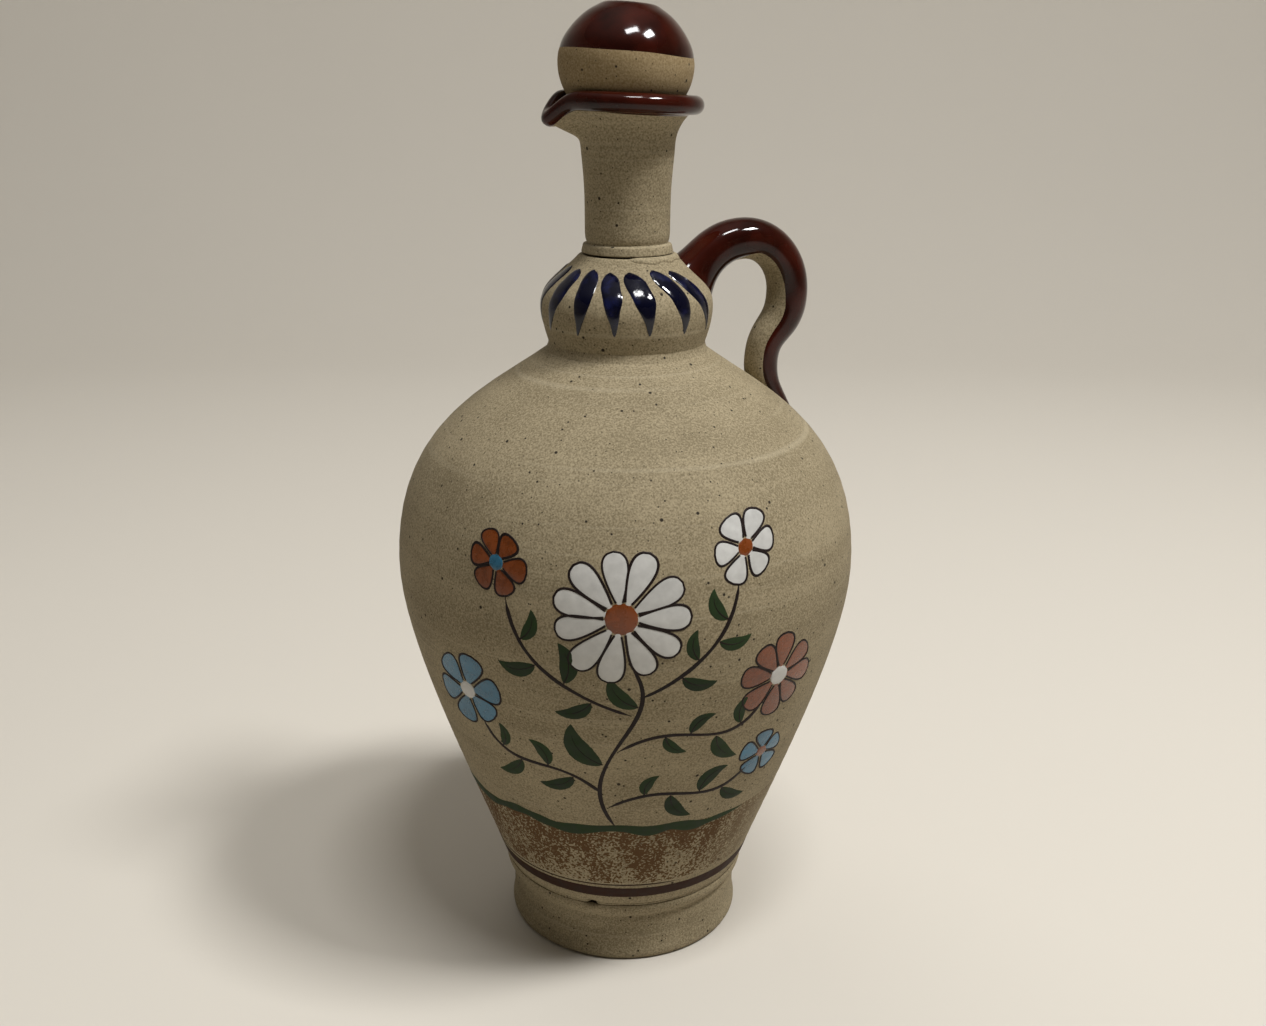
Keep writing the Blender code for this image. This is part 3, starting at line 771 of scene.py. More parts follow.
def throwing(turn, radius, height):
    """Relief that the thrower leaves: a shallow spiral, and at the foot a crease, a torn pit and a hollow."""
    clay = settings().clay
    spiral = np.sin(math.tau * height / clay.ring_pitch + turn)
    lift = clay.ring_depth * spiral * (0.6 + 0.4 * np.sin(height / (17 * MM) + 2 * turn))
    seam = FOOT_TOP + SEAM_SWAY * ripple(turn, 17)
    crease = clay.crease_depth * bell((height - seam) / clay.crease_width)
    pit = torn_pit(turn) * bell((height - seam - PIT_RISE) / PIT_HEIGHT)
    hollow = clay.hollow_depth * bell((height - seam + HOLLOW_FALL) / HOLLOW_HEIGHT)
    hollow = hollow * (0.55 + 0.45 * np.sin(turn - front_turn() + 0.3))
    return lift - (crease + pit + hollow) * (radius > OUTSIDE)


def stand_flat(points):
    """Points raised to the floor where the thrown surface would sink into it."""
    raised = points.copy()
    raised[..., 2] = np.maximum(raised[..., 2], 0.0)
    return raised


def body_skin():
    """Outer and inner surface of the body."""
    clay = settings().clay
    return Skin(soft_section(cad_section("body"), BODY_ROW_SPREAD * clay.row_spacing, clay.edge), throwing)


def collar_skin():
    """Outer and inner surface of the collar."""
    clay = settings().clay
    return Skin(soft_section(cad_section("collar"), clay.row_spacing / 2, clay.edge), throwing)


def widened(points, factor):
    """Points moved out from the turning axis, or in towards it."""
    return points * np.stack((factor, factor, np.ones_like(factor)), axis=-1)


def mouth_warp(points):
    """Pull the pouring lip at -X and lean the rim towards the handle."""
    lip = settings().lip
    middle = RIM_TOP - ROLL
    turn = np.arctan2(points[..., 1], -points[..., 0])
    depth = ease((points[..., 2] - (middle - lip.depth)) / lip.depth)
    share = bell(turn / lip.spread) * depth
    radius = np.hypot(points[..., 0], points[..., 1])
    grow = 1.0 + lip.reach * share / np.maximum(radius, SAME_PLACE)
    moved = widened(points, grow)
    moved[..., 2] -= lip.drop * share
    felt = ease((moved[..., 2] - (RIM_TOP - MOUTH_LEAN_START)) / MOUTH_LEAN_RUN)
    return lean(moved, middle, lip.tilt * felt)


def lean(points, pivot, tilt):
    """Turn points about the Y axis at a height, down towards +X."""
    moved = points.copy()
    up = points[..., 2] - pivot
    moved[..., 0] = points[..., 0] * np.cos(tilt) + up * np.sin(tilt)
    moved[..., 2] = pivot - points[..., 0] * np.sin(tilt) + up * np.cos(tilt)
    return moved


def neck_swell(turn, radius, height):
    """Relief that fills out the neck between its ridge and its flare, and cuts the crease over the ridge."""
    clay = settings().clay
    ridge = COLLAR_TOP + RIDGE_RISE
    fullest = RIM_TOP - 19 * MM
    flare = RIM_TOP - 17 * MM
    crease_depth = 0.3 * MM
    fuller = 0.55 + 0.45 * bell((height - fullest) / (6 * MM))
    reach = ease((height - ridge) / (3 * MM)) * (1.0 - ease((height - flare) / (7 * MM)))
    crease = crease_depth * bell((height - ridge - 0.15 * MM) / (0.4 * MM))
    return (clay.neck_swell * fuller * reach - crease) * (radius > NECK_OUTSIDE)


def neck_skin():
    """Surface of the neck, its rolled rim and its bore."""
    clay = settings().clay
    return Skin(soft_section(cad_section("neck"), clay.row_spacing / 2, 0.22 * MM), neck_swell, mouth_warp)


def ball_warp(points):
    """Draw in the ball's crown, lean the ball about its middle and set it a little off the axis."""
    lip = settings().lip
    crown = ease((points[..., 2] - (BALL_HIGH - CROWN_START)) / CROWN_RUN)
    moved = lean(widened(points, 1.0 - lip.ball_taper * crown), BALL_PIVOT, lip.ball_tilt)
    moved[..., 0] -= lip.ball_shift
    moved[..., 2] -= settings().glaze.thickness * crown
    return moved


def ball_skin():
    """Surface of the stopper's ball."""
    clay = settings().clay
    section = cad_section("stopper_head", from_top=True)
    # Points across the flat crown keep the smooth curve from bulging over it
    section = np.concatenate((np.linspace(section[0], section[1], CROWN_POINTS), section[2:]))
    skin = Skin(soft_section(section, clay.row_spacing / 2, clay.edge), None, ball_warp)
    # The section runs down from the crown, so its normals are turned outwards
    skin.facing = -skin.facing
    return skin


class Strap:
    """Surface of the pulled handle: a point for any share of its length and turn round its section."""

    def __init__(self):
        share = np.linspace(0.0, 1.0, STRAP_STEPS)
        eases = (1.0 - (1.0 - share) ** 5, ease(share), ease(share), share**2)
        # Thickness and width of the strap at its start, arch, grip, knee and end
        thick = np.array((21.0, 12.2, 12.2, 10.2, 1.6)) * MM
        wide = np.array((19.0, 14.0, 14.0, 11.2, 5.0)) * MM
        parts = []
        for number, (curve, change) in enumerate(zip(self.middle_line(), eases)):
            depth = thick[number] + (thick[number + 1] - thick[number]) * change
            width = wide[number] + (wide[number + 1] - wide[number]) * change
            rows = np.column_stack((curve, depth, width))
            parts.append(rows if number == 0 else rows[1:])
        rows = np.concatenate(parts)
        along = arc_lengths(rows[:, :2])
        self.along = along / along[-1]
        self.rows = rows
        run = np.gradient(rows[:, :2], self.along, axis=0)
        self.run = run / np.linalg.norm(run, axis=1, keepdims=True)

    @staticmethod
    def middle_line():
        """Curves of the strap's middle by way of its arch, grip and knee, as radius and height."""
        size = settings().handle
        collar = collar_skin()
        body = body_skin()
        root = np.array((collar.radius(collar.along_at(size.root_height)), size.root_height))
        tip = np.array((body.radius(body.along_at(size.tip_height)), size.tip_height))
        out = np.array((math.cos(size.root_slope), math.sin(size.root_slope)))
        fall = 2 * MM  # over which the shoulder's slope at the tip is measured
        below = body.radius(body.along_at(size.tip_height - fall)) - tip[0]
        down = np.array((below, -fall)) / math.hypot(below, fall)
        start = root - out * size.root_sink
        arch = root + (size.arch_span, size.arch_rise)
        grip = root + (size.grip_span, -size.grip_fall)
        knee = tip + (-size.knee_tuck, size.knee_rise)
        end = tip + np.array((down[1], -down[0])) * size.tip_sink
        bow = 0.5523  # turns a quarter of a round
        climb = arch - start
        bend = grip - arch
        drop = np.array((0.0, grip[1] - knee[1]))
        tail = 0.40 * np.linalg.norm(end - knee)
        return (
            bezier(start, start + out * bow * climb[1], arch - (bow * climb[0], 0.0), arch, STRAP_STEPS),
            bezier(arch, arch + (bow * bend[0], 0.0), grip - (0.0, bow * bend[1]), grip, STRAP_STEPS),
            bezier(grip, grip - drop * bow, knee + drop * bow, knee, STRAP_STEPS),
            bezier(knee, knee - (0.0, tail), end - down * tail, end, STRAP_STEPS),
        )

    def at(self, share, turn, lift=0.0):
        """Points on the strap. Turn 0 is its outer side, and half a turn its inner side."""
        share, turn, lift = np.broadcast_arrays(share, turn, lift)
        x, z, depth, width = (np.interp(share, self.along, self.rows[:, i]) for i in range(4))
        run_x, run_z = (np.interp(share, self.along, self.run[:, i]) for i in range(2))
        out = np.cos(turn) / depth
        side = np.sin(turn) / width
        size = np.hypot(out, side)
        rise = 0.5 * depth * np.cos(turn) + lift * out / size
        across = 0.5 * width * np.sin(turn) + lift * side / size
        return np.stack((x - run_z * rise, across, z + run_x * rise), axis=-1)


# Brushwork


class Page:
    """The belly unrolled round its front: millimetres across and up from the ground line."""

    def __init__(self, skin):
        self.skin = skin
        self.base = skin.along_at(settings().bands.ground_height)
        self.front = front_turn()

    def at(self, spots, lift):
        """Points on the belly for page spots, an array of (across, up)."""
        along = self.base + spots[..., 1] * MM
        turn = self.front + spots[..., 0] * MM / self.skin.radius(along)
        return self.skin.at(turn, along, lift)


def headings(path):
    """Unit direction along a path at each of its points."""
    run = np.gradient(path, axis=0)
    return run / np.linalg.norm(run, axis=1, keepdims=True)


def edges_of(path, widths):
    """The two edges of a stroke."""
    run = headings(path)
    aside = np.stack((-run[:, 1], run[:, 0]), axis=1) * widths[:, None] / 2
    return path + aside, path - aside


def stroke(page, path, widths, thickness, columns=7):
    """Closed ribbon of colour along a path on the page, domed across and sunk at its edges."""
    left, right = edges_of(path, widths)
    share = np.linspace(0.0, 1.0, columns)
    spots = left[:, None] + (right - left)[:, None] * share[None, :, None]
    dome = 1.0 - np.abs(2.0 * share - 1.0) ** 4
    body = np.clip(widths / max(widths.max(), SAME_PLACE) * 3.0, 0.15, 1.0)
    top = page.at(spots, thickness * dome * body[:, None] - BRUSH_SINK)
    return ribbon(top, page.at(spots[:, ::-1], -BRUSH_ROOT))


def leaf_widths(width, count, fullest):
    """Widths of a leaf that is fullest part of the way along, and pointed at both ends."""
    share = np.linspace(0.0, 1.0, count)
    power = math.log(0.5) / math.log(fullest)
    return width * np.maximum(np.sin(math.pi * share**power), 0.0) ** 0.8


def round_widths(radius, count):
    """Widths of a round spot along its diameter."""
    share = np.linspace(-1.0, 1.0, count)
    return 2.0 * radius * np.sqrt(np.clip(1.0 - share**2, 0.0, 1.0))


def painted_line(page, points, width, seed, thickness, count=40):
    """A line drawn by hand through points: its width wanders, and it thins at its ends."""
    path = smooth_curve(points, count)
    share = np.linspace(0.0, 1.0, count)
    ends = np.clip(np.minimum(share, 1.0 - share) * 14.0, 0.25, 1.0)
    widths = width * ends * (1.0 + 0.16 * wander(share, seed, 6))
    return stroke(page, path, widths, thickness, 5)


# Operators


class JUG_OT_foot(bpy.types.Operator):
    """Make the foot ring"""

    bl_idname = "jug.foot"
    bl_label = "Foot Ring"

    def execute(self, context):
        clay = settings().clay
        section = soft_section(cad_section("foot_ring"), clay.row_spacing / 2, clay.edge)
        skin = Skin(section, throwing, stand_flat)
        look = stoneware_thrown("stoneware_thrown_foot")
        make_piece("foot_ring_clay", [turned(skin, clay.turn_steps)], look, "jug", ["foot_ring"])
        make_piece("foot_slip", [seam_slip(skin)], look, "jug")
        return {"FINISHED"}


def seam_slip(foot):
    """Ring of slip that was squeezed into the foot's seam and closes it behind the crease."""
    clay = settings().clay
    turns = full_turn(clay.turn_steps)
    bead = full_turn(12)[:, None]
    half_width = 1.1 * MM
    half_height = 0.9 * MM
    set_back = 1.55 * MM
    rise = 0.15 * MM
    uneven = 0.12 * MM * ripple(turns, 19, (7, 11, 16))
    reach = foot.radius(foot.along_at(FOOT_TOP - clay.edge)) - set_back - torn_pit(turns)
    height = FOOT_TOP + rise + half_height * np.sin(bead)
    return loft(round_points(reach + half_width * np.cos(bead) + uneven, turns, height), looped=True)


class JUG_OT_body(bpy.types.Operator):
    """Make the body with its sponged band, and the slip in the collar's joint"""

    bl_idname = "jug.body"
    bl_label = "Body"

    def execute(self, context):
        clay = settings().clay
        skin = body_skin()
        look = stoneware_thrown("stoneware_thrown_body", sponge=sponged_band)
        make_piece("body_clay", [turned(skin, clay.turn_steps)], look, "jug", ["body"])
        make_piece("collar_slip", [slip_ring(skin)], look, "jug")
        return {"FINISHED"}


def slip_ring(body):
    """Ring of slip that fills the crease under the collar with a small cove."""
    clay = settings().clay
    collar = collar_skin()
    foot = body.along_at(BODY_TOP - 0.5 * MM)
    start = foot - clay.slip_width
    low = np.array((body.radius(start), body.height(start)))
    end = collar.along_at(BODY_TOP + 0.8 * MM) + clay.slip_width
    high = np.array((collar.radius(end), collar.height(end)))
    corner = np.array((body.radius(foot) - 0.2 * MM, BODY_TOP))
    share = np.linspace(0.0, 1.0, 9)[:, None]
    cove = (1 - share) ** 2 * low + 2 * share * (1 - share) * (corner + 0.25 * (low + high - 2 * corner))
    cove = cove + share**2 * high
    deep = 1.0 * MM
    buried = np.array([high - (deep, 0.0), corner - (deep, deep), low - (0.6 * MM, 0.6 * MM)])
    section = np.concatenate((cove, buried))
    return loft(round_points(section[:, :1], full_turn(clay.turn_steps), section[:, 1:]), looped=True)


class JUG_OT_collar(bpy.types.Operator):
    """Make the collar"""

    bl_idname = "jug.collar"
    bl_label = "Collar"

    def execute(self, context):
        clay = settings().clay
        look = stoneware_thrown("stoneware_thrown_collar")
        make_piece(
            "collar_clay", [turned(collar_skin(), clay.turn_steps)], look, "jug", ["collar"]
        )
        return {"FINISHED"}


# Petals on the front as turns from it at their top, fullest part and tail, in degrees, and relative width
FRONT_PETALS = (
    (-70, -77, -86, 0.95),
    (-52, -54, -63, 1.0),
    (-34, -31, -34, 0.98),
    (-16, -11, -8, 0.97),
    (2, 10, 15, 1.06),
    (25, 36, 41, 1.08),
    (44, 56, 68, 1.05),
)
BACK_PETALS = (140.0, 7)  # turn of the first one from the front, in degrees, and their number
PETAL_SHARES = (0.0, 0.05, 0.1, 0.17, 0.3, 0.42, 0.55, 0.7, 0.85, 0.95, 1.0)
PETAL_FULLNESS = (0.1, 0.54, 0.75, 0.92, 1.0, 1.0, 0.9, 0.67, 0.36, 0.2, 0.08)


class JUG_OT_petals(bpy.types.Operator):
    """Brush the cobalt petals round the collar"""

    bl_idname = "jug.petals"
    bl_label = "Petals"

    def execute(self, context):
        collar = collar_skin()
        draw = np.random.default_rng(7)
        skins = [self.petal(collar, draw, *place) for place in self.places(draw)]
        make_piece("collar_petals", skins, cobalt_glaze_brushed(), "jug")
        return {"FINISHED"}

    @staticmethod
    def places(draw):
        """Turns from the front and widths of all the petals, with those at the back spaced by hand."""
        first, number = BACK_PETALS
        places = list(FRONT_PETALS)
        for order in range(number):
            middle = first + order * math.degrees(settings().petals.spacing) + draw.normal(0.0, 1.5)
            top = middle + draw.normal(0, 3)
            tail = middle + draw.normal(0, 4)
            places.append((top, middle, tail, draw.uniform(0.9, 1.1)))
        return places

    @staticmethod
    def petal(collar, draw, top, middle, tail, width):
        """One raised petal, brushed from its top to its tail, with uneven sides."""
        petals = settings().petals
        share = np.linspace(0.0, 1.0, PETAL_ROWS)
        across = np.linspace(-1.0, 1.0, 15)
        dome = np.clip(1.0 - np.abs(across) ** 3, 0.0, 1.0) ** 0.6
        fullness = np.interp(share, PETAL_SHARES, PETAL_FULLNESS)
        shift = draw.uniform(-0.5, 0.5, 2) * MM
        start = collar.along_at(petals.top) + shift[0]
        along = np.linspace(start, collar.along_at(petals.bottom) + shift[1], PETAL_ROWS)
        line = np.radians(np.polyval(np.polyfit((0.0, 0.38, 1.0), (top, middle, tail), 2), share))
        size = petals.width / 2 * width * fullness
        left, right = (size * (1.0 + 0.09 * wander(share, draw.integers(999), 7)) for _ in range(2))
        side = np.where(across[None, :] < 0.0, left[:, None], right[:, None])
        turn = front_turn() + line[:, None] + side * across[None, :] / collar.radius(along)[:, None]
        full = np.clip(fullness * 2.2, 0.12, 1.0)
        lift = petals.thickness * dome[None, :] * full[:, None] - BRUSH_SINK
        upper = collar.at(turn, along[:, None], lift)
        return ribbon(upper, collar.at(turn[:, ::-1], along[:, None], -RAISED_ROOT))


class JUG_OT_neck(bpy.types.Operator):
    """Make the neck and pour the glaze on its rim"""

    bl_idname = "jug.neck"
    bl_label = "Neck and Rim"

    def execute(self, context):
        skin = neck_skin()
        thrown = turned(skin, settings().clay.turn_steps)
        look = stoneware_thrown("stoneware_thrown_neck")
        make_piece("neck_clay", [thrown], look, "jug", ["neck"])
        make_piece("neck_flake", [self.flake()], look, "jug")
        make_piece("rim_glaze", [self.coat(skin)], iron_glaze_poured(), "jug")
        return {"FINISHED"}

    @staticmethod
    def coat(skin):
        """Glaze from under the rim's roll, and higher beside the lip, over its crest into the bore."""
        glaze = settings().glaze
        turns = full_turn(settings().clay.turn_steps)
        crest = skin.along[int(np.argmax(skin.section[:, 1]))]
        shore = SHORE_RISE * bell(wrapped(turns - front_turn() - LIP_SHORE) / SHORE_SPREAD)
        edge = crest - RIM_GLAZE_FALL + shore + 0.25 * MM * ripple(turns, 3)
        far = crest + glaze.mouth_depth + 0.6 * MM * ripple(turns, 5)
        return coat_round(skin, turns, edge, far, COAT_ROWS, glaze.thickness, GLAZE_ROOT)

    @staticmethod
    def flake():
        """Flake of slip under the neck's ridge, thin at its left end on the front."""
        collar = collar_skin()
        turns = front_turn() + np.radians(np.linspace(-3.0, 96.0, 90))
        share = np.linspace(0.0, 1.0, 90)
        top = collar.along_at(COLLAR_TOP - 0.05 * MM)
        width = 1.9 * MM
        overlap = 0.4 * MM
        thickness = 0.5 * MM
        reach = width * (1.0 + 0.22 * wander(share, 47, 12))
        reach = reach * ease(share * 5.0) * ease((1.0 - share) * 8.0)
        across = np.linspace(0.0, 1.0, 9)
        along = top + overlap - (reach[:, None] + overlap) * across
        lift = thickness * np.sqrt(1.0 - across**4) * ease(share * 6.0)[:, None] - COAT_SINK
        upper = collar.at(turns[:, None], along, lift)
        return ribbon(upper, collar.at(turns[:, None], along[:, ::-1], -RAISED_ROOT))


# Shares of the strap's length, and half the turn that the glaze covers there in degrees
GLAZE_COVER = ((0, 174), (0.16, 170), (0.3, 128), (0.5, 121), (0.72, 112), (0.86, 100), (1, 90))


class JUG_OT_handle(bpy.types.Operator):
    """Pull the strap handle and glaze its outer side"""

    bl_idname = "jug.handle"
    bl_label = "Handle"

    def execute(self, context):
        strap = Strap()
        share = np.linspace(0.0, 1.0, STRAP_ROWS)
        look = stoneware_thrown("stoneware_pulled_handle")
        rings = strap.at(share[:, None], full_turn(STRAP_SIDES))
        make_piece("handle_clay", [loft(rings)], look, "jug", ["handle"])
        make_piece("handle_glaze", [self.coat(strap, share)], iron_glaze_poured(), "jug")
        return {"FINISHED"}

    @staticmethod
    def coat(strap, share):
        """Glaze over the strap's outer side and round its edges."""
        cover = np.radians(np.interp(share, *zip(*GLAZE_COVER)))
        cover = cover + math.radians(3.0) * wander(share, 11, 9)
        across = np.linspace(-1.0, 1.0, 41)
        lift = coat_lift((across + 1.0) / 2.0, settings().glaze.thickness)
        upper = strap.at(share[:, None], cover[:, None] * across, lift)
        return ribbon(upper, strap.at(share[:, None], cover[:, None] * across[::-1], -GLAZE_ROOT))


class JUG_OT_stopper(bpy.types.Operator):
    """Make the ball stopper, its glazed cap and its cork"""

    bl_idname = "jug.stopper"
    bl_label = "Stopper"

    def execute(self, context):
        clay = settings().clay
        skin = ball_skin()
        look = stoneware_thrown("stoneware_thrown_ball", warm=0.36)
        make_piece("stopper_clay", [turned(skin, BALL_STEPS)], look, "stopper", ["stopper_head"])
        make_piece("stopper_glaze", [self.cap(skin)], iron_glaze_poured(), "stopper")
        plug = Skin(soft_section(cad_section("stopper_cork", from_top=True), clay.row_spacing, clay.edge))
        look = cork_punched()
        make_piece("stopper_plug", [turned(plug, PLUG_STEPS)], look, "stopper", ["stopper_cork"])
        return {"FINISHED"}

    @staticmethod
    def cap(skin):
        """Cap of glaze on the ball. It has one edge, so its lift is the second half of a coat's."""
        glaze = settings().glaze
        turns = full_turn(BALL_STEPS)
        edge = skin.along_at(glaze.ball_line + 0.35 * MM * ripple(turns, 13))
        rows = np.linspace(0.0, 1.0, COAT_ROWS)[:, None]
        along = edge * rows
        upper = skin.at(turns, along, coat_lift(0.5 + 0.5 * rows, glaze.thickness))
        under = skin.at(turns, along[::-1], -GLAZE_ROOT)
        return loft(np.concatenate((upper, under[1:])))


class JUG_OT_bands(bpy.types.Operator):
    """Brush the stripe round the body, and the thin line and the green ground line on its front"""

    bl_idname = "jug.bands"
    bl_label = "Bands"

    def execute(self, context):
        bands = settings().bands
        page = Page(body_skin())
        brown = colour_brushed("manganese_brushed", bands.stripe, (0.65, 0.85), 0.35, 0.25)
        make_piece("foot_stripe", [self.stripe(page.skin)], brown, "jug")
        make_piece("foot_line", [self.thin_line(page)], brown, "jug")
        make_piece("ground_line", [self.ground_line(page)], copper_green_brushed(), "jug")
        return {"FINISHED"}

    @staticmethod
    def stripe(skin):
        """Brown stripe right round the body, over the foot."""
        bands = settings().bands
        turns = full_turn(settings().clay.turn_steps)
        low = skin.along_at(bands.stripe_low + 0.2 * MM * ripple(turns, 21))
        high = skin.along_at(bands.stripe_high + 0.25 * MM * ripple(turns, 22))
        return coat_round(skin, turns, low, high, 9, bands.paint, BRUSH_ROOT)

    @staticmethod
    def thin_line(page):
        """Thin brown line over the stripe, which starts and ends on the front."""
        bands = settings().bands
        up = (page.skin.along_at(bands.line_height) - page.base) / MM
        across = np.linspace(-58.0, 18.0, 12)
        line = np.stack((across, up + 0.25 * wander(across, 23, 5)), axis=1)
        return painted_line(page, line, bands.line_width / MM, 24, bands.paint, 120)

    @staticmethod
    def ground_line(page):
        """Green line over the sponged band, on the front too: uneven, and thin at its ends."""
        bands = settings().bands
        across = np.linspace(-75.0, 42.0, 18)
        path = smooth_curve(np.stack((across, 1.3 * wander(across, 25, 16)), axis=1), 180)
        share = np.linspace(0.0, 1.0, 180)
        widths = bands.ground_width / MM * (1.0 + 0.34 * wander(share, 26, 22))
        widths = widths * np.clip(np.minimum(share * 12.0, (1.0 - share) * 6.0), 0.06, 1.0)
        return stroke(page, path, widths, bands.paint)


# Stems of the spray as page points, and the shares of each where its leaves grow
STEMS = (
    (((-2, 1), (-7, 20), (-1, 38), (5, 54), (1, 66)), (0.42, 0.78)),
    (((-6, 16), (-20, 25), (-34, 27), (-45, 38)), (0.24, 0.42, 0.6, 0.78)),
    (((-2, 34), (14, 40), (30, 38), (43, 47)), (0.3, 0.46, 0.62, 0.8)),
    (((2, 48), (-13, 55), (-27, 66), (-34, 82)), (0.24, 0.42, 0.6, 0.78)),
    (((4, 54), (17, 62), (28, 74), (32, 87)), (0.3, 0.46, 0.62, 0.78)),
    (((-5, 10), (11, 16), (27, 14), (40, 21)), (0.26, 0.42, 0.6, 0.78)),
)
# Blossoms: middle, radius, number of petals, and the colours of the petals and the eye
BLOSSOMS = (
    ((-1, 79), 19.0, 11, "white", "rust"),
    ((-50, 47), 13.0, 6, "blue", "white"),
    ((48, 54), 14.0, 8, "rust", "white"),
    ((-37, 91), 9.5, 6, "rust", "blue"),
    ((34, 96), 10.0, 6, "white", "rust"),
    ((45, 24), 9.0, 5, "blue", "rust"),
)
# Roughness of the spray's brushed colours from wet to dry, their contrast and their gloss
SPRAY_FINISHES = {
    "white": ((0.28, 0.5), 0.12, 0.5),
    "blue": ((0.2, 0.4), 0.3, 0.5),
    "rust": ((0.18, 0.36), 0.3, 0.5),
    "dark": ((0.5, 0.7), 0.3, 0.2),
}


class JUG_OT_spray(bpy.types.Operator):
    """Paint the flower spray on the front of the belly"""

    bl_idname = "jug.spray"
    bl_label = "Flower Spray"

    def execute(self, context):
        spray = settings().spray
        page = Page(body_skin())
        draw = np.random.default_rng(31)
        pools = {"white": [], "blue": [], "rust": [], "green": [], "dark": []}
        for number, stem in enumerate(STEMS):
            self.stem(page, pools, draw, number, *stem)
        for number, blossom in enumerate(BLOSSOMS):
            self.blossom(page, pools, draw, number, *blossom)
        for name, skins in pools.items():
            if name == "green":
                look = copper_green_brushed()
            else:
                look = colour_brushed(f"{name}_brushed", getattr(spray, name), *SPRAY_FINISHES[name])
            make_piece(f"spray_{name}", skins, look, "jug")
        return {"FINISHED"}

    def stem(self, page, pools, draw, number, points, leaves):
        """Paint one stem, its leaves and their veins."""
        paint = settings().bands.paint
        pools["dark"].append(painted_line(page, points, settings().spray.stem / MM, 40 + number, paint, 60))
        path = smooth_curve(points, 61)
        run = headings(path)
        for order, share in enumerate(leaves):
            place = int(share * 60)
            side = 1.0 if number == 0 or (order + number) % 2 else -1.0
            size = draw.uniform(11.0, 16.0) * (1.2 if number == 0 else 0.85)
            midrib = self.midrib(path[place], run[place], side, size)
            leaf = leaf_widths(0.42 * size, LEAF_STEPS, 0.42)
            vein = np.linspace(0.6, 0.15, VEIN_STEPS)
            pools["green"].append(stroke(page, midrib, leaf, paint, 9))
            pools["dark"].append(stroke(page, midrib[:VEIN_STEPS], vein, paint * DARK_COATS, 5))

    def blossom(self, page, pools, draw, number, middle, radius, count, petals, eye):
        """Paint one blossom: its petals, their dark outlines and its eye."""
        paint = settings().bands.paint
        outline = settings().spray.outline / MM
        for petal in range(count):
            turn = math.tau * petal / count + draw.normal(0.0, 0.03) + 0.3 * number
            reach = radius * draw.uniform(0.93, 1.06)
            path, widths = self.petal(middle, turn, reach, math.tau * reach / count)
            pools[petals].append(stroke(page, path, widths, paint, 11))
            left, right = edges_of(path, widths)
            rim = np.concatenate((left, right[::-1]))[2:-2]
            line = np.full(len(rim), outline) * draw.uniform(0.85, 1.15)
            pools["dark"].append(stroke(page, rim, line, paint * DARK_COATS, 5))
        eye_radius = EYE_SHARE * radius
        across = np.linspace(-1, 1, 25) * eye_radius + middle[0]
        eye_path = np.stack((across, np.full(25, middle[1])), axis=1)
        pools[eye].append(stroke(page, eye_path, round_widths(eye_radius, 25), paint * EYE_COATS, 13))

    @staticmethod
    def midrib(spot, heading, side, size):
        """Middle line of a leaf that leaves a stem and bends up."""
        aside = np.array((-heading[1], heading[0])) * side
        tip = spot + (0.62 * heading + 0.78 * aside) * size
        bow = spot + (0.2 * heading + 0.55 * aside) * size
        return smooth_curve((spot + 0.06 * size * aside, bow, tip), LEAF_STEPS)

    @staticmethod
    def petal(middle, turn, reach, room):
        """Path and widths of a petal that leaves a blossom's eye."""
        away = np.array((math.cos(turn), math.sin(turn)))
        path = np.array(middle) + away * np.linspace(0.2, 1.0, 33)[:, None] * reach
        share = np.linspace(0.0, 1.0, 33)
        swell = (0.05 + share) ** 0.8 * np.sqrt(1.0 - share**4)
        return path, 0.66 * room * swell / swell.max()


# Lamps: degrees right of the camera and up, sides in metres, watts, and whether glaze mirrors them
LAMPS = {
    "right_lamp": (68.0, 59.0, (0.34, 0.19), 19.5, True),
    "front_lamp": (26.0, 72.0, (0.42, 0.17), 9.5, True),
    "back_lamp": (-152.0, 58.0, (0.90, 0.60), 3.0, False),
}


